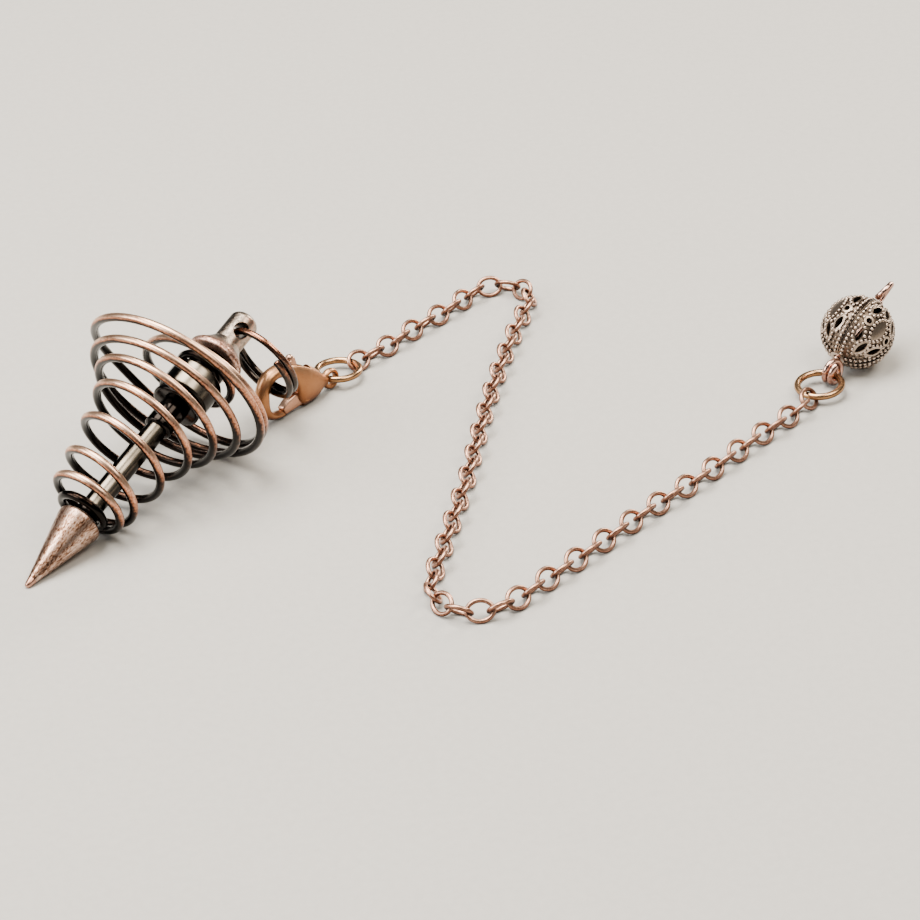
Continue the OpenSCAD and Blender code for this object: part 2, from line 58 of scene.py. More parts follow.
# %% Camera
CAMERA_PLACE = Vector((-2.68, -366.65, 222.33)) * MM
LOOK_DOWN = math.radians(31.5)
ROLL = math.radians(-3.795)
camera_data = bpy.data.cameras.new("camera")
camera_data.lens = 125.0
camera_data.sensor_width = 36.0
camera = bpy.data.objects.new("camera", camera_data)
bpy.context.scene.collection.objects.link(camera)
ahead = Vector((0, math.cos(LOOK_DOWN), -math.sin(LOOK_DOWN)))
level = Vector((1, 0, 0))
above = level.cross(ahead)
right = math.cos(ROLL) * level + math.sin(ROLL) * above
upward = -math.sin(ROLL) * level + math.cos(ROLL) * above
camera.matrix_world = Matrix.Translation(CAMERA_PLACE) @ Matrix(
    (right, upward, -ahead)).transposed().to_4x4()
bpy.context.scene.camera = camera
print("camera at", [round(v, 4) for v in CAMERA_PLACE])

# %% [markdown]
# Studio light for metal is mostly about what the metal mirrors. A polished wire
# shows a soft box as one long highlight, and it shows the dark room between the
# boxes as the dark stripes that make it look like metal. So the world is dim, and
# four large soft boxes stand round the table: one overhead, one high at the right
# for the front of the shaft, one low at the left, and a narrow one behind at the
# right, which draws the thin bright edges.


# %% Soft boxes
def colour(text):
    """Linear colour of an sRGB hex value."""
    parts = [int(text[i:i + 2], 16) / 255 for i in (1, 3, 5)]
    linear = [c / 12.92 if c <= 0.04045 else ((c + 0.055) / 1.055) ** 2.4 for c in parts]
    return linear + [1.0]


def soft_box(name, place, aim, size, power, tint):
    """A lit rectangle at a place, turned to its aim."""
    data = bpy.data.lights.new(name, "AREA")
    data.shape = "RECTANGLE"
    data.size, data.size_y = size
    data.energy = power
    data.color = colour(tint)[:3]
    box = bpy.data.objects.new(name, data)
    bpy.context.scene.collection.objects.link(box)
    place, aim = Vector(place), Vector(aim)
    box.location = place
    box.rotation_euler = (aim - place).to_track_quat("-Z", "Y").to_euler()


soft_box("box_overhead", (-0.14, 0.08, 0.60), (0, 0, 0), (0.50, 0.38), 10.0, "#fff6ea")
soft_box("box_right", (0.32, -0.13, 0.58), (-0.02, 0, 0), (0.42, 0.30), 3.6, "#fff3e2")
soft_box("box_left", (-0.56, -0.14, 0.34), (-0.02, 0, 0), (0.50, 0.30), 5.0, "#fbf7f2")
soft_box("box_back", (0.42, 0.55, 0.30), (0, 0, 0.01), (0.16, 0.42), 4.6, "#fff1df")

world = bpy.data.worlds.new("dim_room")
bpy.context.scene.world = world
world.use_nodes = True
room = world.node_tree.nodes["Background"]
room.inputs["Color"].default_value = colour("#85878a")
room.inputs["Strength"].default_value = 0.34


# %% [markdown]
# Every finish is a small network of nodes. One helper adds a node, fills in its
# values and links its inputs, which keeps each recipe short enough to read.

# %% Helpers for finishes
def add(tree, kind, values=None, links=None):
    """A new node with its values set and its inputs linked."""
    node = tree.nodes.new(kind)
    for key, value in (values or {}).items():
        if key == "stops":
            elements = node.color_ramp.elements
            while len(elements) < len(value):
                elements.new(0.5)
            for element, (position, text) in zip(elements, value):
                element.position, element.color = position, colour(text)
        elif isinstance(key, int) or key in node.inputs:
            node.inputs[key].default_value = value
        else:
            setattr(node, key, value)
    for key, source in (links or {}).items():
        tree.links.new(source, node.inputs[key])
    return node


def new_finish(name):
    """A material with its node tree and its shader."""
    material = bpy.data.materials.new(name)
    material.use_nodes = True
    return material, material.node_tree, material.node_tree.nodes["Principled BSDF"]


# %% [markdown]
# The floor is a plain pale sweep of card. It is far larger than the jewel, so
# that no edge of it shows in a mirror-like wire. Its fibres vary its tone by a
# hair, just enough that it doesn't look like a flat fill.

# %% Floor
FLOOR_HALF, FIBRE_MM = 1.5, 1.1
floor_finish, tree, shader = new_finish("matte_paper_sweep")
shader.inputs["Roughness"].default_value = 0.7
fibres = add(tree, "ShaderNodeTexNoise", {"Scale": 1 / (FIBRE_MM * MM), "Detail": 3.0},
             {"Vector": add(tree, "ShaderNodeTexCoord").outputs["Object"]}).outputs["Fac"]
pale = add(tree, "ShaderNodeValToRGB", {"stops": [(0.3, "#bdbcb8"), (0.7, "#c2c1bd")]},
           {0: fibres})
tree.links.new(pale.outputs["Color"], shader.inputs["Base Color"])
floor_mesh = bpy.data.meshes.new("floor")
floor_mesh.from_pydata([(-1, -1, 0), (1, -1, 0), (1, 1, 0), (-1, 1, 0)], [], [(0, 1, 2, 3)])
floor_mesh.transform(Matrix.Diagonal((FLOOR_HALF, FLOOR_HALF, 1, 1)))
floor = bpy.data.objects.new("floor", floor_mesh)
floor_mesh.materials.append(floor_finish)
bpy.context.scene.collection.objects.link(floor)
print("floor:", 2 * FLOOR_HALF, "m square")

# %% [markdown]
# The CAD source places the shaft, the cage and the rings with headings, tilts and
# turns. The same numbers are repeated here, in millimetres, so that each new
# piece lies over its CAD solid, and the finishes use them too: the painted light
# and shade on a wire depend on which way the metal faces from the middle of its
# coil. The source moves the whole jewel at its end, so that it lies in the middle
# of the table. Here MIDDLE is taken off each place that the rest is worked out
# from. A turn of the split ring is counted in degrees from its top.


# %% The jewel's own directions
def direction(heading, tilt):
    """Unit vector of a heading and of a tilt above the table, in degrees."""
    h, t = math.radians(heading), math.radians(tilt)
    return np.array([math.cos(t) * math.cos(h), math.cos(t) * math.sin(h), math.sin(t)])


def unit(vector):
    """The same way with a length of one."""
    vector = np.asarray(vector, float)
    return vector / np.linalg.norm(vector)


MIDDLE = np.array([2.68, 3.85, 0.0])
TIP_R = 0.4
SHAFT_HEADING, SHAFT_TILT = 54.3, 16.7
shaft_dir = direction(SHAFT_HEADING, SHAFT_TILT)
apex = np.array([-55.9, -24.2, TIP_R - TIP_R * math.sin(math.radians(SHAFT_TILT))]) - MIDDLE
shaft_place = (Matrix.Translation(Vector(apex * MM))
               @ Matrix.Rotation(math.radians(SHAFT_HEADING), 4, "Z")
               @ Matrix.Rotation(math.radians(90 - SHAFT_TILT), 4, "Y"))
print("shaft runs", [round(float(v), 3) for v in shaft_dir], "from", apex.round(2))

# %% The pin and the bead on it
BEAD_R, PIN_WIRE, EYE_R, SHANK_SHOWS = 5.0, 0.85, 1.45, 0.3
PIN_HEADING, PIN_TILT = 44.5, 24.2
pin_dir = direction(PIN_HEADING, PIN_TILT)
eye_out = BEAD_R + SHANK_SHOWS + PIN_WIRE / 2 + EYE_R
near_eye = np.array([50.9923, 13.9845, 2.0523]) - MIDDLE
bead_at = near_eye + eye_out * pin_dir
far_eye = bead_at + eye_out * pin_dir
print("bead at", bead_at.round(2), "with an eye", round(eye_out, 3), "mm to either side")

# %% Stations along the shaft, from the tip
NECK_AT, STEM_AT, COLLAR_AT, DISC_AT = 12.3, 14.3, 29.3, 33.5
BARREL_AT, CLAMP_AT, BELL_AT, LUG_AT, DOME_AT = 35.0, 39.4, 42.6, 45.8, 50.0
LUG_D, LUG_L, DOME_L, HOLE_SHARE = 4.1, 4.2, 1.3, 0.62
lug_hole = apex + (LUG_AT + LUG_L * HOLE_SHARE) * shaft_dir
print("lug hole", lug_hole.round(2))

# %% The cage's axis and the split ring's plane
CAGE_HEADING, CAGE_TILT, CAGE_TURN = 54.5, 20.1, -24.0
cage_axis = direction(CAGE_HEADING, CAGE_TILT)
cage_left = direction(CAGE_HEADING + 90, 0)
cage_up = np.cross(cage_axis, cage_left)

SPLIT_R, SPLIT_WIRE, SPLIT_GAP, LUG_TURN = 5.45, 0.95, 0.06, 325
split_normal = direction(43.7, 18.8)
split_up = unit(np.array([0, 0, 1]) - split_normal * split_normal[2])
split_side = np.cross(split_normal, split_up)


def split_radial(turn):
    """Out from the ring's middle at a turn, which is counted from its top."""
    a = math.radians(turn)
    return math.cos(a) * split_up + math.sin(a) * split_side


def split_way(turn):
    """The way that the wire runs at a turn."""
    a = math.radians(turn)
    return math.cos(a) * split_side - math.sin(a) * split_up


split_mid = lug_hole - (SPLIT_R - LUG_D ** 2 / (32 * SPLIT_R)) * split_radial(LUG_TURN)
split_shift = (SPLIT_WIRE + SPLIT_GAP) / 360
print("cage runs", cage_axis.round(3), "split ring's middle", split_mid.round(2))

# %% [markdown]
# The plating is a thin skin on the brass. A chemical bath turned it dark, and a cloth
# took the dark layer off again wherever it could reach. So each finish blends a
# glossy black-brown tarnish into rubbed copper, led by a value between nought and
# one that carries both wear and painted light and shade. Four small recipes set it:
# by how far a point faces away from the middle of its coil and up, which paints
# shade on the insides and undersides of the wire; by how far it faces one way, which
# paints shade on undersides and sides and a reflection band on the shaft; by where
# it lies along the shaft, which is the wear of the bell's rim; and by how high it
# lies in pierced work, which is the tarnish left in the bead's hollows. All of them
# read the jewel itself, so the marks stay in place from every side.

# %% The ways that set the painted light and shade
UP = (0.0, 0.0, 1.0)
# This way points from the jewel to the camera. The painted reflection band on the shaft faces
# along it, and the bell's painted shade is turned a little from it.
front = unit((0.0, -0.86, 0.51))
shaft_sheen_way = unit(front - (front @ shaft_dir) * shaft_dir)
bell_shade_way = unit(shaft_sheen_way + 0.5 * unit(np.cross(shaft_dir, shaft_sheen_way)))
print("shaft front", shaft_sheen_way.round(2), "bell front", bell_shade_way.round(2))


# %% How much painted light a point of a coil gets
# How strongly facing up counts, the range of the painted light, and how much painted shade the
# narrow turns get.
UP_COUNTS = 1.3
LIGHT_FROM, LIGHT_TO = -0.5, 1.75
NARROW_SHADE = 0.8


def painted_light_outside(tree, middle, axis, near_mm, far_mm):
    """Painted light, high where a coil faces up and outwards; painted shade on its narrow
    turns.
    """
    seen = add(tree, "ShaderNodeNewGeometry")
    offset = add(tree, "ShaderNodeVectorMath", {"operation": "SUBTRACT", 1: tuple(middle * MM)},
                 {0: seen.outputs["Position"]})
    along = add(tree, "ShaderNodeVectorMath", {"operation": "PROJECT", 1: tuple(axis)},
                {0: offset.outputs[0]})
    away = add(tree, "ShaderNodeVectorMath", {"operation": "SUBTRACT"},
               {0: offset.outputs[0], 1: along.outputs[0]})
    out = add(tree, "ShaderNodeVectorMath", {"operation": "NORMALIZE"}, {0: away.outputs[0]})
    facing = add(tree, "ShaderNodeVectorMath", {"operation": "DOT_PRODUCT"},
                 {0: out.outputs[0], 1: seen.outputs["Normal"]})
    height = add(tree, "ShaderNodeSeparateXYZ", links={0: seen.outputs["Normal"]})
    # Facing up and outwards gives painted light, facing down and inwards painted shade.
    both = add(tree, "ShaderNodeMath", {"operation": "MULTIPLY_ADD", 1: UP_COUNTS},
               {0: height.outputs["Z"], 2: facing.outputs["Value"]})
    lit_side = add(tree, "ShaderNodeMapRange", {"From Min": LIGHT_FROM, "From Max": LIGHT_TO},
                 {"Value": both.outputs["Value"]})
    radius = add(tree, "ShaderNodeVectorMath", {"operation": "LENGTH"}, {0: away.outputs[0]})
    # The narrow turns by the neck and the clamp get painted shade.
    narrow = add(tree, "ShaderNodeMapRange",
                 {"From Min": near_mm * MM, "From Max": far_mm * MM,
                  "To Min": -NARROW_SHADE, "To Max": 0.0},
                 {"Value": radius.outputs["Value"]})
    return add(tree, "ShaderNodeMath", {"operation": "ADD"},
               {0: lit_side.outputs["Result"], 1: narrow.outputs["Result"]}).outputs["Value"]


# %% Painted light by facing, wear along the shaft, depth in pierced work
def painted_light_facing(tree, way, low, high, both_sides=False):
    """Painted light: high where the surface faces one way, or with both sides also where it
    faces away.
    """
    seen = add(tree, "ShaderNodeNewGeometry")
    facing = add(tree, "ShaderNodeVectorMath", {"operation": "DOT_PRODUCT", 1: tuple(way)},
                 {0: seen.outputs["Normal"]})
    how_far = facing.outputs["Value"]
    if both_sides:
        how_far = add(tree, "ShaderNodeMath", {"operation": "ABSOLUTE"},
                      {0: how_far}).outputs["Value"]
    return add(tree, "ShaderNodeMapRange", {"From Min": low, "From Max": high},
               {"Value": how_far}).outputs["Result"]


def worn_along(tree, from_mm, to_mm):
    """Rises along the shaft between two stations."""
    station = add(tree, "ShaderNodeSeparateXYZ",
                  links={0: add(tree, "ShaderNodeTexCoord").outputs["Object"]})
    return add(tree, "ShaderNodeMapRange",
               {"From Min": from_mm * MM, "From Max": to_mm * MM},
               {"Value": station.outputs["Z"]}).outputs["Result"]


def worn_high(tree, middle, low_mm, high_mm):
    """High on the raised parts of work that lies round a middle."""
    far = add(tree, "ShaderNodeVectorMath", {"operation": "DISTANCE", 1: tuple(middle * MM)},
              {0: add(tree, "ShaderNodeNewGeometry").outputs["Position"]})
    return add(tree, "ShaderNodeMapRange",
               {"From Min": low_mm * MM, "From Max": high_mm * MM},
               {"Value": far.outputs["Value"]}).outputs["Result"]


# %% [markdown]
# The plating recipe adds the two sizes of irregularity that a rubbed finish has:
# blotches of a millimetre or two, where the cloth pressed more or less, and
# specks of a fifth of a millimetre, where the tarnish stayed in the pores. Turned
# and brushed pieces have them drawn out along the way the tool went. Every real
# edge is a little round and worn bright: the bevel node rounds the normal there,
# and how far it turns the normal tells where an edge is.


# %% Plating
EDGE_STARTS, EDGE_FULL, EDGE_GAIN = 0.995, 0.85, 0.4


def plating(name, stops, wear_and_shade=None, blotch_mm=1.8, speck_mm=0.2, drawn=(1, 1, 1),
            uneven=0.5, specked=0.3, smooth=0.2, rough=0.4, relief_mm=0.004, edge_mm=0.0):
    """Copper plating from its tarnish to its rubbed tone, as the stops of a ramp."""
    material, tree, shader = new_finish(name)
    shader.inputs["Metallic"].default_value = 1.0
    place = add(tree, "ShaderNodeMapping", {"Scale": drawn},
                {"Vector": add(tree, "ShaderNodeTexCoord").outputs["Object"]}).outputs[0]
    blotch, speck = (
        add(tree, "ShaderNodeTexNoise",
            {"Scale": 1 / (size * MM), "Detail": detail, "Roughness": 0.6},
            {"Vector": place}).outputs["Fac"]
        for size, detail in ((blotch_mm, 5.0), (speck_mm, 3.0)))
    level_out = 0.0 if wear_and_shade else 0.5
    total = add(tree, "ShaderNodeMath", {"operation": "MULTIPLY_ADD", 1: uneven,
                                         2: level_out - (uneven + specked) / 2}, {0: blotch})
    total = add(tree, "ShaderNodeMath", {"operation": "MULTIPLY_ADD", 1: specked},
                {0: speck, 2: total.outputs["Value"]})
    # The blend value holds wear and painted light and shade.
    if wear_and_shade:
        total = add(tree, "ShaderNodeMath", {"operation": "ADD"},
                    {0: wear_and_shade(tree), 1: total.outputs["Value"]})
    bump = add(tree, "ShaderNodeBump", {"Strength": 0.6, "Distance": relief_mm * MM},
               {"Height": speck})
    if edge_mm:
        soft = add(tree, "ShaderNodeBevel",
                   {"samples": 4, "Radius": edge_mm * MM}).outputs["Normal"]
        tree.links.new(soft, bump.inputs["Normal"])
        turned_by = add(tree, "ShaderNodeVectorMath", {"operation": "DOT_PRODUCT"},
                        {0: soft, 1: add(tree, "ShaderNodeNewGeometry").outputs["Normal"]})
        edge = add(tree, "ShaderNodeMapRange",
                   {"From Min": EDGE_STARTS, "From Max": EDGE_FULL,
                    "To Min": 0.0, "To Max": EDGE_GAIN},
                   {"Value": turned_by.outputs["Value"]})
        total = add(tree, "ShaderNodeMath", {"operation": "ADD"},
                    {0: edge.outputs["Result"], 1: total.outputs["Value"]})
    tone = add(tree, "ShaderNodeValToRGB", {"stops": stops}, {0: total.outputs["Value"]})
    gloss = add(tree, "ShaderNodeMapRange", {"To Min": rough, "To Max": smooth},
                {"Value": total.outputs["Value"]})
    tree.links.new(tone.outputs["Color"], shader.inputs["Base Color"])
    tree.links.new(gloss.outputs["Result"], shader.inputs["Roughness"])
    tree.links.new(bump.outputs["Normal"], shader.inputs["Normal"])
    return material


# %% [markdown]
# The wire of the cage and of the split ring has painted light on its outside and top,
# and painted shade, almost black, on its inside and underside. The dark side is as
# glossy as it came out of the bath, so there it mirrors the room in thin crisp lines,
# while the copper side is satin.

# %% Finishes of the sprung and wound wire
# The nearly black first stops are painted shade and painted dark reflection.
cage_finish = plating("antique_copper_wire",
                      [(0.16, "#171412"), (0.34, "#3c2c24"), (0.5, "#935f46"),
                       (0.72, "#cc9174"), (0.97, "#edc4a6")],
                      lambda tree: painted_light_outside(tree, apex, cage_axis, 3.7, 4.7),
                      blotch_mm=2.4, speck_mm=0.25, uneven=0.6, specked=0.7,
                      smooth=0.32, rough=0.15)
split_finish = plating("antique_spring_wire",
                       [(0.14, "#3b3531"), (0.34, "#54433a"), (0.52, "#96644b"),
                        (0.75, "#c98f73"), (0.95, "#e8bfa3")],
                       lambda tree: painted_light_outside(tree, split_mid, split_normal, 3.0, 8.5),
                       blotch_mm=2.2, speck_mm=0.25, uneven=0.6, specked=0.7,
                       smooth=0.29, rough=0.15)

# %% [markdown]
# The chain, the rings, the pin and the clasp lie low on the table. They are lighter on
# top and darker brown underneath, which is painted light and painted shade. The
# chain and the pin are a pinkish copper, the rings a yellower one, and the clasp is
# cast and satin.

# %% Finishes of the chain, rings and clasp
# Each finish here is lighter where it faces up and darker underneath: painted light and painted
# shade.
chain_finish = plating("shaded_copper_link",
                       [(0.1, "#38231b"), (0.4, "#714b3c"), (0.75, "#a47762"),
                        (1.0, "#cda18a")],
                       lambda tree: painted_light_facing(tree, UP, -0.7, 0.7),
                       blotch_mm=1.4, uneven=0.8, specked=1.1, smooth=0.3, rough=0.44,
                       relief_mm=0.02)
pin_finish = plating("bright_copper_pin",
                     [(0.1, "#533529"), (0.4, "#966b5b"), (0.75, "#c49887"), (1.0, "#dab5a6")],
                     lambda tree: painted_light_facing(tree, UP, -0.8, 0.5),
                     blotch_mm=1.6, uneven=0.4, specked=0.2, smooth=0.2, rough=0.3)
ring_finish = plating("satin_bronze_ring",
                      [(0.1, "#3f2b1b"), (0.4, "#7c5a3c"), (0.75, "#a97f58"), (1.0, "#cfa77f")],
                      lambda tree: painted_light_facing(tree, UP, -0.8, 0.6),
                      blotch_mm=1.8, uneven=0.4, specked=0.2, smooth=0.26, rough=0.36)
clasp_finish = plating("satin_cast_copper",
                       [(0.1, "#4f3120"), (0.4, "#8a5a3a"), (0.75, "#ad7850"),
                        (1.0, "#cb9870")],
                       lambda tree: painted_light_facing(tree, UP, -0.9, 0.7),
                       blotch_mm=2.6, speck_mm=0.12, uneven=0.35, specked=0.2, smooth=0.36,
                       rough=0.44, relief_mm=0.003, edge_mm=0.12)
gate_finish = plating("shaded_copper_gate",
                      [(0.1, "#523325"), (0.4, "#93664e"), (0.75, "#ba8b71"), (1.0, "#d5ab92")],
                      lambda tree: painted_light_facing(tree, UP, -0.9, 0.5),
                      blotch_mm=1.6, speck_mm=0.14, uneven=0.4, specked=0.25,
                      smooth=0.28, rough=0.4, edge_mm=0.08)

# %% [markdown]
# The point was brushed along its length, which left short streaks of brown
# tarnish in a pinkish grey copper. The stem and the barrel came off the lathe
# like a mirror. Where they face toward the camera or straight away from it, they
# carry a painted reflection in a warm nickel tone, and their sides are painted dark,
# while the collar, the disc and the neck are nearly black. The bell's tarnish is
# grey, with painted shade on its sides, and only its rim was rubbed down to pitted
# copper.

# %% Finishes of the turned pieces
RIM_WORN_TO = 2.0
cone_finish = plating("brushed_antique_copper",
                      [(0.16, "#3a281f"), (0.36, "#7b5844"), (0.52, "#ae8e7b"),
                       (0.8, "#ceb4a5")],
                      blotch_mm=1.7, speck_mm=0.2, drawn=(1, 1, 0.35), uneven=1.1, specked=1.9,
                      smooth=0.24, rough=0.46, relief_mm=0.007, edge_mm=0.1)
tip_finish = plating("rubbed_copper_tip", [(0.2, "#8e604c"), (0.8, "#d8ac98")],
                     uneven=0.6, specked=0.4, smooth=0.24, rough=0.36)
# The warm band where the stem and barrel face toward the camera or away is a painted
# reflection, and their dark sides are painted shade.
polished_finish = plating("polished_nickel_bronze",
                          [(0.05, "#211e1b"), (0.35, "#3e3933"), (0.65, "#7d7467"),
                           (0.95, "#968c7d")],
                          lambda tree: painted_light_facing(tree, shaft_sheen_way, 0.7, 0.95,
                                                   both_sides=True),
                          blotch_mm=3.0, drawn=(0.15, 0.15, 1), uneven=0.3, specked=0.2,
                          smooth=0.3, rough=0.14, relief_mm=0.001, edge_mm=0.08)
dark_finish = plating("polished_black_bronze",
                      [(0.2, "#171513"), (0.6, "#262220"), (0.95, "#6a6058")],
                      blotch_mm=2.0, drawn=(0.15, 0.15, 1), uneven=0.4, specked=0.2,
                      smooth=0.1, rough=0.16, relief_mm=0.001, edge_mm=0.08)
# The bell is lighter where it faces one slanted way or straight away from it, and darker at its
# sides: painted shade.
bell_finish = plating("matte_antique_bell",
                      [(0.1, "#211d1b"), (0.35, "#5b524b"), (0.6, "#93887d"), (0.85, "#b5a191"),
                       (1.1, "#c99b86")],
                      lambda tree: painted_light_facing(tree, bell_shade_way, -0.2, 1.25, both_sides=True),
                      blotch_mm=1.3, speck_mm=0.3, uneven=0.8, specked=1.3, smooth=0.32,
                      rough=0.4, relief_mm=0.012, edge_mm=0.12)
rim_finish = plating("pitted_copper_rim",
                     [(0.05, "#857b72"), (0.22, "#5f463b"), (0.42, "#a07260"),
                      (0.62, "#c89a86"), (0.9, "#e2c0b0")],
                     lambda tree: worn_along(tree, BELL_AT + RIM_WORN_TO, BELL_AT - 0.5),
                     blotch_mm=0.9, speck_mm=0.3, uneven=1.5, specked=2.6, smooth=0.34,
                     rough=0.5, relief_mm=0.03, edge_mm=0.1)

# %% [markdown]
# The bead's finish follows the depth of the work. Measured from the middle of the
# ball, the ground lies 0.25 mm below the raised work, and the grains stand on it,
# so the distance from the middle tells how far the cloth reached.

# %% Finishes of the bead
bead_finish = plating("antique_bronze_filigree",
                      [(0.05, "#332b26"), (0.4, "#675a4f"), (0.8, "#9c8b7c"), (1.0, "#b9a899")],
                      lambda tree: worn_high(tree, bead_at, 4.4, 5.1),
                      blotch_mm=0.9, speck_mm=0.16, uneven=0.5, specked=0.4, smooth=0.28,
                      rough=0.5, relief_mm=0.02)
grain_finish = plating("rubbed_granulation",
                       [(0.05, "#40362f"), (0.45, "#85766a"), (0.8, "#b09e91"),
                        (1.0, "#d6c4b6")],
                       lambda tree: worn_high(tree, bead_at, 4.75, 5.15),
                       blotch_mm=1.6, speck_mm=0.2, uneven=0.6, specked=0.2, smooth=0.24,
                       rough=0.4)
print("materials in the file:", len(bpy.data.materials))


# %% [markdown]
# Three kinds of form make most of the jewel: a turned body, which is a profile
# spun round an axis, a wire, which is a circle swept along a path, and a casting,
# which is a row of rounded sections. The large pieces have far more sides than
# their CAD solids, so that their highlights run clean, and the chain's small
# links need fewer. A profile is written as rows of a radius and a height in
# millimetres.

# %% Pieces
def piece(name, points, faces, finish, slot, replaces=(), body=JEWEL, place=None):
    """A named piece of the jewel from points in millimetres."""
    mesh = bpy.data.meshes.new(name)
    mesh.from_pydata([tuple(p) for p in np.asarray(points, float) * MM], [], faces)
    mesh.update()
    mesh.shade_smooth()
    made = bpy.data.objects.new(name, mesh)
    bpy.context.scene.collection.objects.link(made)
    if place is not None:
        made.matrix_world = place
    mesh.materials.append(finish)
    bpy.context.view_layer.update()
    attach(made, body)
    if replaces:
        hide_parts(*replaces)
    print(name, len(mesh.vertices), "points")
    return made


# %% Turned bodies
def turned(profile, sides=160):
    """Points and faces of a profile of (radius, height) spun round Z."""
    angles = np.linspace(0, 2 * np.pi, sides, endpoint=False)
    points, rows = [], []
    for radius, height in profile:
        if radius < 1e-6:
            rows.append([len(points)] * sides)
            points.append((0, 0, height))
        else:
            rows.append(list(range(len(points), len(points) + sides)))
            points += [(radius * math.cos(a), radius * math.sin(a), height) for a in angles]
    faces = []
    for low, high in zip(rows[:-1], rows[1:]):
        for k in range(sides):
            n = (k + 1) % sides
            corners = list(dict.fromkeys([low[k], low[n], high[n], high[k]]))
            if len(corners) > 2:
                faces.append(corners)
    return points, faces


def rounded(profile, radius, steps=4):
    """The profile with each corner rounded by an arc-like curve."""
    out = [profile[0]]
    for a, b, c in zip(profile[:-2], profile[1:-1], profile[2:]):
        a, b, c = np.array(a, float), np.array(b, float), np.array(c, float)
        la, lc = np.linalg.norm(a - b), np.linalg.norm(c - b)
        cut = min(radius, la * 0.45, lc * 0.45)
        p, q = b + (a - b) / la * cut, b + (c - b) / lc * cut
        out += [tuple((1 - t) ** 2 * p + 2 * t * (1 - t) * b + t * t * q)
                for t in np.linspace(0, 1, steps)]
    return out + [profile[-1]]


def on_shaft(name, profile, finish, slot, replaces=()):
    """A turned piece on the shaft's own axis."""
    return piece(name, *turned(profile), finish, slot, replaces, place=shaft_place)


# %% [markdown]
# The point is a solid cone with a small round tip, rubbed bright, and a narrow
# chamfer at its shoulder. Above it, a thin black neck takes the end of the
# cage's wire.

# %% Point
CONE_R, NECK_R, STEM_R = 3.05, 1.7, 1.5


def tip_cap(radius, low, high, count):
    """Rows of the tip's round, between two angles from its lowest point."""
    return [(radius * math.sin(a), TIP_R - radius * math.cos(a))
            for a in np.linspace(low, high, count)]


cone_rows = [(0.42, 0.5), (CONE_R, 11.35), (CONE_R, 11.8), (2.3, NECK_AT),
             (STEM_R, NECK_AT + 0.02), (0, NECK_AT + 0.02)]
on_shaft("point", [(0, 0)] + tip_cap(TIP_R, 0.15, 1.3, 8) + rounded(cone_rows, 0.25),
         cone_finish, "point_copper", ["cone_tip"])
neck_rows = [(0, NECK_AT), (NECK_R, NECK_AT), (NECK_R, STEM_AT - 0.15), (STEM_R, STEM_AT),
             (0, STEM_AT)]
on_shaft("point_neck", rounded(neck_rows, 0.1), dark_finish, "point_copper")
SKIN = 0.015
on_shaft("rubbed_tip", [(0, -SKIN)] + tip_cap(TIP_R + SKIN, 0.2, 1.25, 7)
         + [(0.62, 1.25), (0.6, 1.3)], tip_finish, "point_copper")

# %% [markdown]
# The stem and the barrel are polished almost to a mirror, and the collar and the
# disc between them are nearly black. A lathe leaves a tiny round on every
# edge, and that round is what catches the light, so each profile is rounded.

# %% Stem, disc and barrel
COLLAR_R, DISC_R, BARREL_R, WAIST_R = 1.95, 3.5, 3.7, 2.7
stem_rows = [(0, STEM_AT + 0.05), (STEM_R, STEM_AT + 0.05), (STEM_R, COLLAR_AT), (0, COLLAR_AT)]
on_shaft("stem_rod", rounded(stem_rows, 0.12), polished_finish, "polished_bronze", ["stem"])
collar_rows = [(0, COLLAR_AT - 0.02), (COLLAR_R - 0.2, COLLAR_AT - 0.02),
               (COLLAR_R, COLLAR_AT + 0.2), (COLLAR_R, DISC_AT - 0.05), (0, DISC_AT - 0.05)]
on_shaft("stem_collar", rounded(collar_rows, 0.12), dark_finish, "polished_bronze")
disc_rows = [(0, DISC_AT), (DISC_R - 0.3, DISC_AT), (DISC_R, DISC_AT + 0.25),
             (DISC_R, DISC_AT + 0.8), (DISC_R - 0.25, DISC_AT + 1.0), (WAIST_R, DISC_AT + 1.0),
             (WAIST_R, BARREL_AT + 0.1), (0, BARREL_AT + 0.1)]
on_shaft("dark_disc", rounded(disc_rows, 0.14), dark_finish, "polished_bronze")
barrel_rows = [(0, BARREL_AT), (BARREL_R - 0.3, BARREL_AT), (BARREL_R, BARREL_AT + 0.3),
               (BARREL_R, CLAMP_AT - 0.3), (BARREL_R - 0.3, CLAMP_AT), (0, CLAMP_AT)]
on_shaft("barrel", rounded(barrel_rows, 0.16), polished_finish, "polished_bronze", ["hub"])
on_shaft("clamp_waist", [(0, CLAMP_AT - 0.02), (WAIST_R, CLAMP_AT - 0.02),
                         (WAIST_R, BELL_AT - 0.05), (0, BELL_AT - 0.05)],
         dark_finish, "polished_bronze")

# %% [markdown]
# The cage is one soft wire, wound by hand round a tapered form. It starts in the
# clamp above the barrel, sweeps out to the widest turn and closes towards the
# neck. The rows are the CAD source's own: station along the axis, radius, how
# much of the shaft's own axis it follows, and half turns. A smooth curve runs
# through them, which is sampled every six degrees or less for a clean wire.

# %% Smooth curves
def mix(a, b, t):
    """The value that lies at the share t between two."""
    return a + (b - a) * t


def smooth(rows, u):
    """Point on a smooth curve through the rows, at the row number u."""
    rows = np.asarray(rows, float)
    n = len(rows) - 1
    i = min(n - 1, max(0, math.floor(u)))
    t = u - i
    a, b, c, d = rows[max(0, i - 1)], rows[i], rows[i + 1], rows[min(n, i + 2)]
    return 0.5 * (2 * b + (c - a) * t + (2 * a - 5 * b + 4 * c - d) * t * t
                  + (3 * b - a - 3 * c + d) * t ** 3)


def finer(rows, steps):
    """The rows with more of them on a smooth curve through their own."""
    return np.array([smooth(rows, k / steps) for k in range(steps * (len(rows) - 1) + 1)])


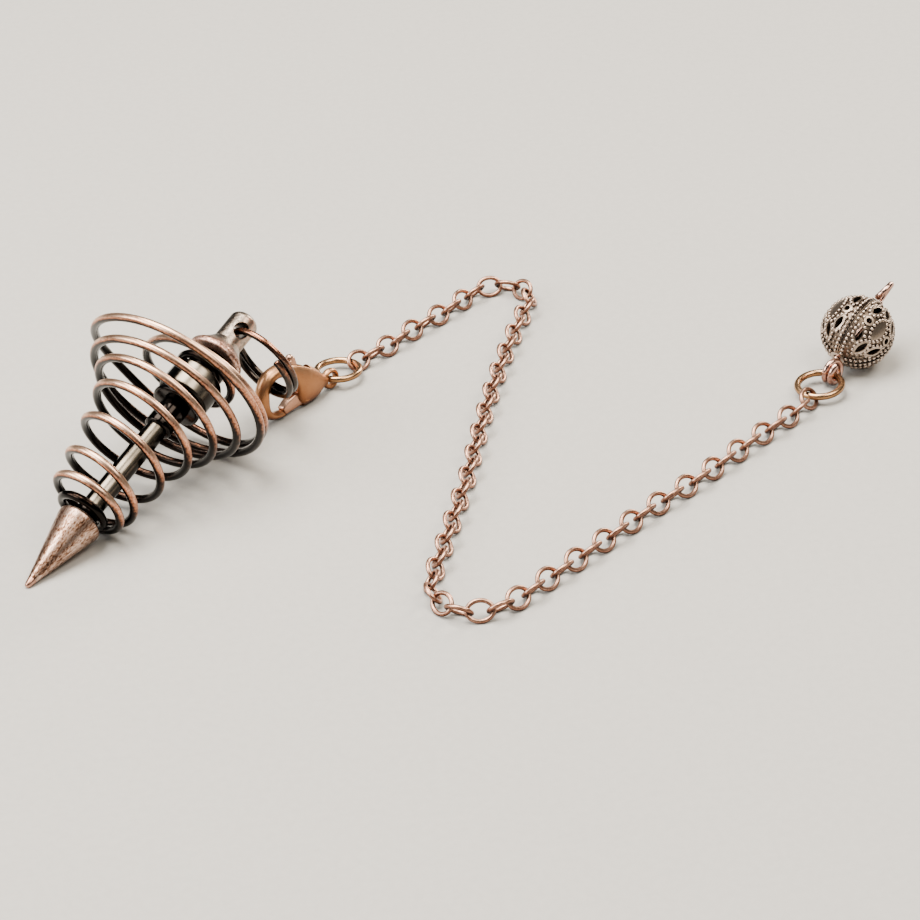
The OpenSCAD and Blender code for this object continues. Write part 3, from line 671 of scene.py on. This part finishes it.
# %% Wires
def lofted(rings, closed=False):
    """Points and faces of a skin over rings of points, closed or with capped ends."""
    n, sides = len(rings), len(rings[0])
    faces = []
    for i in range(n if closed else n - 1):
        j = (i + 1) % n
        for k in range(sides):
            m = (k + 1) % sides
            faces.append((i * sides + k, i * sides + m, j * sides + m, j * sides + k))
    if not closed:
        faces.append(tuple(range(sides))[::-1])
        faces.append(tuple(range((n - 1) * sides, n * sides)))
    return np.vstack(rings), faces


def swept(path, thickness, sides=28, closed=False):
    """Points and faces of a round wire along a path, with rounded ends."""
    path = np.asarray(path, float)
    count, radius = len(path), thickness / 2
    if closed:
        tangent = np.roll(path, -1, 0) - np.roll(path, 1, 0)
    else:
        tangent = np.gradient(path, axis=0)
    tangent /= np.linalg.norm(tangent, axis=1)[:, None]
    side = np.cross(tangent[0], (0.31, 0.17, 0.93))
    frames = []
    for t in tangent:
        side = unit(side - t * np.dot(side, t))
        frames.append((side, np.cross(t, side)))
    twist = 0.0
    if closed:
        first, last = frames[0], frames[-1]
        twist = math.atan2(np.dot(first[0], last[1]), np.dot(first[0], last[0]))
    rings = []
    for k, (s, u) in enumerate(frames):
        a = np.linspace(0, 2 * np.pi, sides, endpoint=False) + twist * k / count
        rings.append(path[k] + radius * (np.outer(np.cos(a), s) + np.outer(np.sin(a), u)))
    if not closed:
        bulge = [(0.17, 0.92), (0.3, 0.7), (0.36, 0.4)]
        head = [path[0] + (rings[0] - path[0]) * width - tangent[0] * radius * out
                for out, width in bulge]
        tail = [path[-1] + (rings[-1] - path[-1]) * width + tangent[-1] * radius * out
                for out, width in bulge]
        rings = head[::-1] + rings + tail
    return lofted(rings, closed)


# %% Cage
CAGE_WIRE, CAGE_REACH, CAGE_R = 1.15, 36.0, 13.5
WIRE_CLEAR, LEAD_FADES, BARREL_L = 0.05, 1.7, 4.4
clamp_r = WAIST_R + CAGE_WIRE / 2 + WIRE_CLEAR
neck_r = NECK_R + CAGE_WIRE / 2 + WIRE_CLEAR
lead_rows = [[-0.18, 0, -4.6], [-0.17, 0.015, -4.1], [-0.15, 0.1, -3.5],
             [0.03, 0.23, -3], [0.27, 0.32, -2.5], [0.43, 0.39, -2]]
cage_rows = [[0.97, 1], [0.982, 0.94], [0.916, 0.85], [0.912, 0.785], [0.87, 0.715],
             [0.822, 0.65], [0.787, 0.595], [0.718, 0.53], [0.653, 0.515],
             [0.58, 0.45], [0.51, 0.445], [0.44, 0.4], [0.41, 0.385], [0.39, 0.345]]
cage_line = ([[CLAMP_AT - r[0] * BARREL_L, mix(clamp_r, CAGE_R, r[1]),
               1 - LEAD_FADES * r[1], r[2]] for r in lead_rows]
             + [[1.012 * CAGE_REACH, 0.89 * CAGE_R, 0.1, -1.5],
                [1.03 * CAGE_REACH, 0.94 * CAGE_R, 0, -1],
                [1.055 * CAGE_REACH, 0.935 * CAGE_R, 0, -0.5]]
             + [[r[0] * CAGE_REACH, r[1] * CAGE_R, 0, k] for k, r in enumerate(cage_rows)]
             + [[NECK_AT + 1, mix(neck_r, 0.4 * CAGE_R, 0.35), 0.7, len(cage_rows)],
                [NECK_AT + 1, neck_r, 1, len(cage_rows) + 1]])


def cage_point(row):
    """Where a row of the cage lies."""
    station, radius, share, half_turns = row
    angle = math.radians(180 * half_turns + CAGE_TURN)
    along = mix(cage_axis, shaft_dir, share)
    out = math.cos(angle) * cage_up - math.sin(angle) * cage_left
    return apex + station * along + radius * out


cage_path = [cage_point(row) for row in finer(cage_line, 30)]
piece("spiral_wire", *swept(cage_path, CAGE_WIRE, 32), cage_finish, "cage_wire",
      ["spiral_cage"])

# %% [markdown]
# The bell caps the clamp. Its flank is almost a straight cone, hollowed by a tenth
# of a millimetre. It ends in a crisp corner at the foot of a round lug with a
# domed end, and the lug has a hole drilled across it for the split ring. Both
# mouths of the hole have a small countersink, so the drill is a turned body too,
# straight in the middle and a little wider at its ends. The cut is a boolean,
# whose result is kept as a plain mesh. The rim is a band of its own, because the
# cloth wore it down to pitted copper.

# %% Cutting helpers
def placed_axes(at, x, y, z):
    """Placement with the given axes and its origin at a point in millimetres."""
    rotation = Matrix((x, y, z)).transposed().to_4x4()
    return Matrix.Translation(Vector(np.asarray(at) * MM)) @ rotation


def carve(target, name, points, faces, place):
    """Cut a form in millimetres out of a piece."""
    mesh = bpy.data.meshes.new(name)
    mesh.from_pydata([tuple(p) for p in np.asarray(points, float) * MM], [], faces)
    tool = bpy.data.objects.new(name, mesh)
    tool.matrix_world = place
    bpy.context.scene.collection.objects.link(tool)
    step = target.modifiers.new("carve", "BOOLEAN")
    step.operation, step.solver, step.object = "DIFFERENCE", "EXACT", tool
    bpy.context.view_layer.update()
    shape = bpy.data.meshes.new_from_object(
        target.evaluated_get(bpy.context.evaluated_depsgraph_get()))
    target.modifiers.clear()
    old, target.data = target.data, shape
    bpy.data.meshes.remove(old)
    bpy.data.objects.remove(tool)


def crisp(target, degrees=35):
    """Smooth shading that stops at the real edges."""
    target.data.shade_smooth()
    target.data.set_sharp_from_angle(angle=math.radians(degrees))
    print(target.name, len(target.data.polygons), "faces")


# %% Bell and lug
BELL_R, FLANK_FOOT, FLANK_HOLLOW = 4.05, 0.1, 0.12
foot = LUG_D / 2 + FLANK_FOOT
bell_flank = [(mix(BELL_R - 0.25, foot, t) - FLANK_HOLLOW * math.sin(math.pi * t),
               mix(BELL_AT + 1.05, LUG_AT, t)) for t in np.linspace(0, 1, 20)]
bell_dome = [(LUG_D / 2 * math.cos(a), DOME_AT + DOME_L * math.sin(a))
             for a in np.linspace(0, math.pi / 2, 16)]
bell = on_shaft("bell", [(0, BELL_AT + 0.3), (3.75, BELL_AT + 0.3)] + bell_flank
                + [(LUG_D / 2, LUG_AT)] + bell_dome[:-1] + [(0, DOME_AT + DOME_L)],
                bell_finish, "bell_grey", ["bell_cap"])

# %% Hole in the lug
HOLE_R, SINK_R = 0.95, 1.55
half_drill = [(0, 4.0), (SINK_R, 4.0), (SINK_R, 2.65), (HOLE_R, 1.45)]
drill = [(r, -z) for r, z in half_drill] + half_drill[::-1]
hole_way, hole_x = split_way(LUG_TURN), split_radial(LUG_TURN)
carve(bell, "drill", *turned(drill, 72),
      placed_axes(lug_hole, hole_x, np.cross(hole_way, hole_x), hole_way))
crisp(bell)

# %% Rim
worn_flank = [(r + SKIN, z) for r, z in bell_flank if z < BELL_AT + RIM_WORN_TO]
lip_rows = [(0, BELL_AT), (BELL_R - 0.2, BELL_AT), (BELL_R, BELL_AT + 0.2),
            (BELL_R, BELL_AT + 0.6), (BELL_R - 0.08, BELL_AT + 0.85)]
on_shaft("bell_rim", rounded(lip_rows, 0.12) + worn_flank + [(0, BELL_AT + 1.5)],
         rim_finish, "bell_grey")

# %% [markdown]
# The split ring is spring wire in about one turn and two thirds, side by side, so
# its path is a shallow helix. The wire bows as it passes the straight hole in the
# lug. So the ring's middle lies a tenth of a millimetre nearer to the hole than
# its radius, which leaves the bow room on both sides.


# %% Split ring
SPLIT_START, SPLIT_END = 60, 652


def split_point(turn):
    """Where the middle of the ring's wire lies at a turn."""
    return (split_mid + SPLIT_R * split_radial(turn)
            + split_shift * (turn - LUG_TURN) * split_normal)


split_path = [split_point(turn) for turn in np.linspace(SPLIT_START, SPLIT_END, 320)]
piece("split_ring_wire", *swept(split_path, SPLIT_WIRE, 28), split_finish, "cage_wire",
      ["split_ring"])

# %% [markdown]
# The clasp is a small casting, so it has no flat side anywhere: its sections are
# ellipses that swell from the tail to the spine and thin out round the hook. The
# lever lies in a slot that was milled through it. The slot is cut in three goes,
# one for the arm, one for the gate and one for the room that the gate sweeps,
# and none of them goes past the slanted joint where the gate meets the hook.


# %% Outlines for cutting
def circle_points(at, radius, count=24):
    """Points of a circle, anticlockwise."""
    return [(at[0] + radius * math.cos(t), at[1] + radius * math.sin(t))
            for t in np.linspace(0, 2 * math.pi, count, endpoint=False)]


def hull(points):
    """The outline that runs round all the points."""
    points = sorted({(round(float(x), 6), round(float(y), 6)) for x, y in points})

    def half(run):
        out = []
        for x, y in run:
            while len(out) > 1 and ((out[-1][0] - out[-2][0]) * (y - out[-2][1])
                                    <= (out[-1][1] - out[-2][1]) * (x - out[-2][0])):
                out.pop()
            out.append((x, y))
        return out[:-1]

    return half(points) + half(points[::-1])


def behind(outline, at, way):
    """The part of an outline that lies behind a line through at, square to way."""
    out = []
    for a, b in zip(outline, outline[1:] + outline[:1]):
        da = (a[0] - at[0]) * way[0] + (a[1] - at[1]) * way[1]
        db = (b[0] - at[0]) * way[0] + (b[1] - at[1]) * way[1]
        if da <= 0:
            out.append(a)
        if da * db < 0:
            t = da / (da - db)
            out.append((a[0] + (b[0] - a[0]) * t, a[1] + (b[1] - a[1]) * t))
    return out


# %% Plates
def prism(outline, thickness, edge=0.0):
    """Points and faces of an outline with a thickness, its edges rounded."""
    n = len(outline)
    points = [(x, y, z) for z in (-thickness / 2, thickness / 2) for x, y in outline]
    faces = [tuple(range(n))[::-1], tuple(range(n, 2 * n))]
    faces += [(k, (k + 1) % n, n + (k + 1) % n, n + k) for k in range(n)]
    if edge:
        form = bmesh.new()
        corners = [form.verts.new(p) for p in points]
        for face in faces:
            form.faces.new([corners[v] for v in face])
        bmesh.ops.bevel(form, geom=form.edges[:], offset=edge, segments=4, profile=0.5,
                        affect="EDGES", clamp_overlap=True)
        form.verts.index_update()
        points = [tuple(v.co) for v in form.verts]
        faces = [tuple(v.index for v in f.verts) for f in form.faces]
        form.free()
    return points, faces


# %% The clasp's place
CLASP_L, CLASP_H, CLASP_T = 14.0, 7.7, 3.2
HANG_TURN, HOOK_SEAT = 188, (0.8145, 0.1659, 0.0659)
clasp_x = unit((-0.694, -0.699, 0.173))
clasp_z = unit(np.cross(clasp_x, (0.064, 0.179, 0.982)))
clasp_y = np.cross(clasp_z, clasp_x)
clasp_at = (split_point(HANG_TURN) - HOOK_SEAT[0] * CLASP_L * clasp_x
            - HOOK_SEAT[1] * CLASP_H * clasp_y - HOOK_SEAT[2] * CLASP_T * clasp_z)
clasp_at[2] = max(CLASP_T / 2, clasp_at[2])
clasp_place = placed_axes(clasp_at, clasp_x, clasp_y, clasp_z)
print("clasp at", clasp_at.round(2))

# %% Casting
clasp_rows = [
    [0.06, 0.09, 0.06, -0.09, 0.4], [0.13, 0.16, 0.13, -0.13, 0.6],
    [0.215, 0.3, 0.205, -0.24, 0.78], [0.335, 0.435, 0.305, -0.305, 0.94],
    [0.445, 0.52, 0.415, -0.32, 1], [0.515, 0.56, 0.48, -0.17, 0.97],
    [0.585, 0.585, 0.525, 0.105, 0.9], [0.655, 0.6, 0.605, 0.285, 0.81],
    [0.755, 0.585, 0.73, 0.35, 0.75], [0.885, 0.495, 0.825, 0.28, 0.72],
    [0.97, 0.285, 0.862, 0.15, 0.69], [0.995, 0.05, 0.862, 0.015, 0.69],
    [0.97, -0.155, 0.855, -0.105, 0.66], [0.905, -0.325, 0.83, -0.21, 0.6],
    [0.8, -0.4, 0.77, -0.265, 0.53], [0.64, -0.4, 0.65, -0.27, 0.5]]
round_section = np.linspace(0, 2 * np.pi, 48, endpoint=False)
sections = []
for out_x, out_y, in_x, in_y, thick in finer(clasp_rows, 8):
    outer = np.array([out_x * CLASP_L, out_y * CLASP_H, 0])
    inner = np.array([in_x * CLASP_L, in_y * CLASP_H, 0])
    sections.append([mix(inner, outer, 0.5 + 0.5 * math.cos(a))
                     + np.array([0, 0, thick * CLASP_T / 2 * math.sin(a)])
                     for a in round_section])
casting = piece("clasp_casting", *lofted(sections), clasp_finish, "clasp_copper",
                ["clasp_body"], place=clasp_place)

# %% Gate and joint
LEVER_T, LEVER_R, SLOT_GAP, TIP_GAP = 1.3, 0.95, 0.12, 0.06
LEVER_OPEN, JOINT_SLANT = 24, math.radians(-24)
rivet = np.array([0.395 * CLASP_L, -0.145 * CLASP_H])
gate_tip = np.array([0.672 * CLASP_L, -0.325 * CLASP_H])
nub = np.array([0.553 * CLASP_L, 0.64 * CLASP_H])
joint_way = (math.cos(JOINT_SLANT), math.sin(JOINT_SLANT))
gate_corners = [(rivet, (0, -0.9)), (gate_tip, (0.6, -0.5)), (gate_tip, (0.6, 0.45)),
                (gate_tip, (-0.75, 1.6)), (gate_tip, (-2.2, 2.2)), (rivet, (0, 0.9))]
gate = behind([tuple(at + offset) for at, offset in gate_corners], gate_tip - (TIP_GAP, 0),
              joint_way)
print("gate of", len(gate), "corners, rivet at", rivet.round(2))


# %% Slot and hook tip
def turned_by(point, degrees):
    """A point of the lever when the lever is open by an angle."""
    c, s = math.cos(math.radians(degrees)), math.sin(math.radians(degrees))
    x, y = point[0] - rivet[0], point[1] - rivet[1]
    return rivet[0] + c * x - s * y, rivet[1] + s * x + c * y


slots = []
for reach, radius in ((nub, 0.42), (gate_tip, 0.75)):
    room = circle_points(rivet, LEVER_R + SLOT_GAP)
    for degrees in (0, LEVER_OPEN):
        end = turned_by(rivet + (reach - rivet) * 1.05, degrees)
        room += circle_points(end, radius + SLOT_GAP + 0.1)
    slots.append(hull(room))
slots.append(hull([p for degrees in (0, LEVER_OPEN // 2, LEVER_OPEN) for corner in gate
                   for p in circle_points(turned_by(corner, degrees), SLOT_GAP, 8)]))
for k, outline in enumerate(slots):
    carve(casting, f"slot_{k}",
          *prism(behind(outline, gate_tip, joint_way), LEVER_T + 2 * SLOT_GAP), clasp_place)
low, high = gate_tip - (2, 1.2), gate_tip + (2, 1.0)
tip_cut = behind([(low[0], low[1]), (high[0], low[1]), (high[0], high[1]), (low[0], high[1])],
                 gate_tip + TIP_GAP * np.array(joint_way), joint_way)
carve(casting, "tip_cut", *prism(tip_cut, 2 * CLASP_T), clasp_place)
crisp(casting, 40)

# %% [markdown]
# The tail ends in a small cast eye. The lever is one flat piece with rounded
# edges: its gate closes the hook, its barrel turns on the rivet and its arm ends
# in a ball for the thumb. It rides on the one body that moves in the model.
# The rivet's ends were filed flush and plated over, so they don't show.

# %% Tail eye
half_eye = [(0.85, 0.0), (0.85, 0.3), (0.95, 0.48), (1.1, 0.55), (1.25, 0.53), (1.42, 0.36),
            (1.5, 0.15)]
eye_rows = [(r, -z) for r, z in half_eye] + half_eye[::-1]
piece("clasp_eye", *turned(rounded(eye_rows, 0.08, 3), 72), clasp_finish, "clasp_copper",
      place=clasp_place)


# %% Lever
def joined(parts):
    """Several (points, faces) as one."""
    points, faces, start = [], [], 0
    for some_points, some_faces in parts:
        points.append(np.asarray(some_points, float))
        faces += [tuple(v + start for v in face) for face in some_faces]
        start += len(some_points)
    return np.vstack(points), faces


NUB_R = 0.575
arm = [tuple(rivet - (0.6, 0)), tuple(rivet + (0.7, 0)), tuple(nub + (0.42, -0.3)),
       tuple(nub + (-0.42, 0.3))]
barrel_points, barrel_faces = turned([(0, -LEVER_T / 2), (LEVER_R, -LEVER_T / 2),
                                      (LEVER_R, LEVER_T / 2), (0, LEVER_T / 2)], 48)
ball_points, ball_faces = turned([(NUB_R * math.sin(a), -NUB_R * math.cos(a))
                                  for a in np.linspace(0, math.pi, 20)], 40)
lever_forms = [prism(gate, LEVER_T, 0.26), prism(arm, LEVER_T - 0.1, 0.1),
               (np.array(barrel_points) + (*rivet, 0), barrel_faces),
               (np.array(ball_points) + (*nub, 0), ball_faces)]
lever = piece("lever", *joined(lever_forms), gate_finish, "clasp_copper", ["clasp_lever"],
              body="clasp_lever", place=clasp_place)
crisp(lever, 40)

# %% [markdown]
# The chain is a cable chain. Its links were wound on an oval rod and closed one
# through the other, so each is a round-ended oval, and as they lie on the table
# they lean to either side in turn. The walk along the route finds the joints
# between links, always one pitch apart, as the CAD source does. The CAD's links
# are of thinner wire, which keeps them free of each other. Here they are drawn as
# thick as the real ones look, which leaves only a hair between them.

# %% Joints of the chain
LINK_COUNT, LINK_L, LINK_W, LINK_WIRE, LINK_GAP, LEAN = 69, 3.81, 3.05, 0.46, 0.16, 50
RING_R, RING_WIRE, RING_PLAY = 3.0, 0.95, 0.22
clasp_ring_at = clasp_at[:2] + (RING_R - RING_PLAY) * direction(66, 0)[:2]
chain_offsets = [
    [2.12, 1.96], [7.12, 6.16], [10.82, 10.56], [14.52, 14.16], [17.52, 17.46],
    [20.32, 20.96], [23.62, 21.96], [25.82, 21.26], [27.82, 18.06], [26.92, 14.16],
    [25.62, 9.86], [23.52, 2.16], [21.32, -7.14], [18.92, -19.14], [17.02, -29.84],
    [14.72, -40.34], [12.62, -49.74], [11.42, -55.34], [12.62, -59.64], [16.42, -61.84],
    [20.92, -60.44], [26.12, -55.44], [33.32, -48.04], [40.72, -40.34], [47.42, -33.94],
    [55.62, -25.14], [61.32, -19.44], [64.42, -14.84], [67.12, -8.84]]
route = finer(clasp_ring_at + np.array(chain_offsets), 16)
pitch = LINK_L - 2 * LINK_WIRE - LINK_GAP
joint = clasp_ring_at + (RING_R - RING_WIRE / 2 - LINK_GAP / 2) * unit(chain_offsets[1])
joints, at = [joint], 0
while len(joints) <= LINK_COUNT:
    while at < len(route) - 2 and np.linalg.norm(route[at + 1] - joint) < pitch:
        at += 1
    step, behind_by = route[at + 1] - route[at], route[at] - joint
    along = step @ behind_by
    reach = math.sqrt(along ** 2 - step @ step * (behind_by @ behind_by - pitch ** 2)) - along
    joint = route[at] + step * reach / (step @ step)
    joints.append(joint)
print("joints:", len(joints), "at a pitch of", round(pitch, 2), "mm")

# %% Links
DRAWN_WIRE = 0.6
half_l, half_w = (LINK_L - LINK_WIRE) / 2, (LINK_W - LINK_WIRE) / 2
link_middle = half_w * math.sin(math.radians(LEAN)) + DRAWN_WIRE / 2
oval = np.array([(half_l * math.cos(t), half_w * math.sin(t), 0)
                 for t in np.linspace(0, 2 * np.pi, 56, endpoint=False)])
oval_points, oval_faces = swept(oval, DRAWN_WIRE, 12, closed=True)
links = []
for k, (a, b) in enumerate(zip(joints[:-1], joints[1:])):
    lean = Matrix.Rotation(math.radians(LEAN if k % 2 == 0 else -LEAN), 3, "X")
    swing = Matrix.Rotation(math.atan2(b[1] - a[1], b[0] - a[0]), 3, "Z")
    middle = (*((a + b) / 2), link_middle)
    links.append((oval_points @ np.array(swing @ lean).T + middle, oval_faces))
piece("cable_chain", *joined(links), chain_finish, "chain_copper", ["chain"])

# %% [markdown]
# The pin that carries the bead is one length of wire, bent into an eye at either
# end with round pliers. The near eye is wound 1.7 times, the far one not quite once.

# %% Eye pin
EYE_START, EYE_STEP, EYE_GAP = 202, 12, 0.12
BEND_OUT, BEND_SWING, SHANK_LEAD = 0.8 * PIN_WIRE, 0.06, 0.4
near_normal = unit((0.70882, -0.70493, -0.02554))
far_normal = unit((-0.706, 0.37, 0.604))


def eye_path(at, run, normal, turns):
    """Wire that comes in along run, bends and closes an eye."""
    side = np.cross(normal, run)
    bend = at - run * (EYE_R + BEND_OUT)
    path = [bend - SHANK_LEAD * run, bend,
            mix(bend, at - run * EYE_R, 0.55) + side * EYE_R * BEND_SWING]
    for a in range(EYE_START, EYE_START + int(turns * 360) + 1, EYE_STEP):
        t = math.radians(a)
        path.append(at + EYE_R * (math.cos(t) * run - math.sin(t) * side)
                    + normal * (a - EYE_START) / 360 * (PIN_WIRE + EYE_GAP))
    return path


pin_path = np.vstack([finer(eye_path(near_eye, -pin_dir, near_normal, 1.7)[::-1], 4),
                      finer(eye_path(far_eye, pin_dir, far_normal, 0.9), 4)])
piece("eye_pin_wire", *swept(pin_path, PIN_WIRE, 28), pin_finish, "chain_copper", ["eye_pin"])

# %% [markdown]
# The bead is a hollow ball of pierced work, pressed in gores that meet along dark
# seams. It is covered with granulation, tiny grains of metal about 0.5 mm across,
# which stand in rows round every opening and along the seams, and fill the ground
# between. The bath darkened the ground and the cloth kept the grains bright.

# %% Places on the bead
BEAD_TURN = -117
bead_axes = (Matrix.Rotation(math.radians(PIN_HEADING), 3, "Z")
             @ Matrix.Rotation(math.radians(90 - PIN_TILT), 3, "Y")
             @ Matrix.Rotation(math.radians(BEAD_TURN), 3, "Z"))
bead_place = Matrix.Translation(Vector(bead_at * MM)) @ bead_axes.to_4x4()
GORES = 4
LEAVES = [(40, 0, 0), (27, 23, 18), (27, -23, -18)]


def on_bead(lat, lon, slant=0.0):
    """Axes on the ball: outward, along a leaf, and across it."""
    la, lo, s = math.radians(lat), math.radians(lon), math.radians(slant)
    out = direction(lon, lat)
    down = np.array([math.sin(la) * math.cos(lo), math.sin(la) * math.sin(lo), -math.cos(la)])
    side = np.cross(out, down)
    return out, math.cos(s) * down + math.sin(s) * side, math.cos(s) * side - math.sin(s) * down


def leaf_outline(length, width, pitch):
    """Points round a leaf of two arcs, about pitch apart."""
    r = (length ** 2 + width ** 2) / (4 * width)
    half = math.asin(length / 2 / r)
    count = max(3, round(2 * r * half / pitch))
    arc = [(r * math.sin(t), r * math.cos(t) - (r - width / 2))
           for t in np.linspace(-half, half, count + 1)]
    return arc[:-1] + [(-x, -y) for x, y in arc[:-1]]


def around(frame_axes, outline):
    """The directions from the bead's middle to an outline that lies on it."""
    out, ahead_way, across = frame_axes
    return [unit(out * BEAD_R + x * ahead_way + y * across) for x, y in outline]


# %% Rows of grains
ROW_GRAIN, ROW_PITCH, ROW_APART = 0.52, 0.64, 0.54
FILL_GRAIN, FILL_APART = 0.44, 0.58
SEAM_OFF, SEAM_STEP = 5.4, 7.4
openings, rows = [], []
for g in range(GORES):
    for shift in (-SEAM_OFF, SEAM_OFF):
        rows += [on_bead(lat, (g + 0.5) * 90 + shift / math.cos(math.radians(lat)))[0]
                 for lat in np.arange(-74, 74.1, SEAM_STEP)]
    openings.append((on_bead(0, g * 90), 3.5, 1.6))
    rows += around(openings[-1][0], leaf_outline(4.3, 2.3, ROW_PITCH))
    for half in (1, -1):
        for lat, lon, slant in LEAVES:
            openings.append((on_bead(half * lat, g * 90 + lon, half * slant), 2.5, 1.15))
            rows += around(openings[-1][0], leaf_outline(3.2, 1.75, ROW_PITCH))
    for side in (1, -1):
        openings.append((on_bead(0, g * 90 + side * 24), 1.25, 1.25))
        rows += around(openings[-1][0], circle_points((0, 0), 0.82, 8))
print("openings:", len(openings), "places in rows:", len(rows))


# %% Grains of the ground
SEAM_CLEAR, MOUTH_CLEAR = 0.3, 1.0


def free(way):
    """Whether a direction from the bead's middle misses every opening and seam."""
    lon = math.degrees(math.atan2(way[1], way[0])) % 90 - 45
    off_axis = math.hypot(way[0], way[1]) * BEAD_R
    if off_axis < MOUTH_CLEAR or abs(math.sin(math.radians(lon))) * off_axis < SEAM_CLEAR:
        return False
    for (out, ahead_way, across), length, width in openings:
        if way @ out > 0.6:
            x = 2 * BEAD_R * (way @ ahead_way) / length
            y = 2 * BEAD_R * (way @ across) / width
            if abs(y) < 1 - x * x:
                return False
    return True


def apart(ways, taken, spacing):
    """The ways that keep their distance from the taken ones and each other."""
    kept = list(taken)
    for way in ways:
        gaps = np.linalg.norm(np.array(kept) - way, axis=1) * BEAD_R if kept else [spacing + 1]
        if np.min(gaps) > spacing:
            kept.append(way)
    return kept[len(taken):]


golden = math.pi * (3 - math.sqrt(5))
scatter = [np.array([math.sqrt(1 - z * z) * math.cos(k * golden),
                     math.sqrt(1 - z * z) * math.sin(k * golden), z])
           for k, z in enumerate(np.linspace(0.985, -0.985, 3400))]
row_grains = apart(rows, [], ROW_APART)
fill_grains = apart([way for way in scatter if free(way)], row_grains, FILL_APART)
print("grains:", len(row_grains), "in rows,", len(fill_grains), "between them")

# %% Grains and seams
ball = bmesh.new()
bmesh.ops.create_icosphere(ball, subdivisions=2, radius=0.5)
grain_points = np.array([tuple(v.co) for v in ball.verts])
grain_faces = [tuple(v.index for v in f.verts) for f in ball.faces]
ball.free()
grains = [(grain_points * ROW_GRAIN + way * (BEAD_R - 0.1), grain_faces)
          for way in row_grains]
grains += [(grain_points * FILL_GRAIN + way * (BEAD_R - 0.2), grain_faces)
           for way in fill_grains]
piece("granulation", *joined(grains), grain_finish, "bead_bronze", place=bead_place)
SEAM_WIRE, SEAM_PROUD = 0.16, 0.005
seam_lines = [[on_bead(lat, (g + 0.5) * 90)[0] * (BEAD_R + SEAM_PROUD)
               for lat in np.linspace(-78, 78, 60)] for g in range(GORES)]
seams = [swept(line, SEAM_WIRE, 8) for line in seam_lines]
piece("gore_seams", *joined(seams), dark_finish, "bead_bronze", place=bead_place)

# %% [markdown]
# The pieces whose CAD shape is right already get their finish on the CAD node,
# and the nodes that a piece stands for get the same finish as that piece.

# %% Finishes on the CAD nodes
NODE_FINISHES = {"clasp_body": clasp_finish, "clasp_lever": gate_finish,
                 "clasp_rivet": clasp_finish, "clasp_ring": ring_finish,
                 "end_ring": ring_finish, "chain": chain_finish, "filigree_bead": bead_finish,
                 "cone_tip": cone_finish, "stem": polished_finish, "hub": polished_finish,
                 "bell_cap": bell_finish, "spiral_cage": cage_finish,
                 "split_ring": split_finish, "eye_pin": pin_finish}
for name, finish in NODE_FINISHES.items():
    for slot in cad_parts[name].material_slots:
        slot.material = finish
print("finished nodes:", len(NODE_FINISHES))
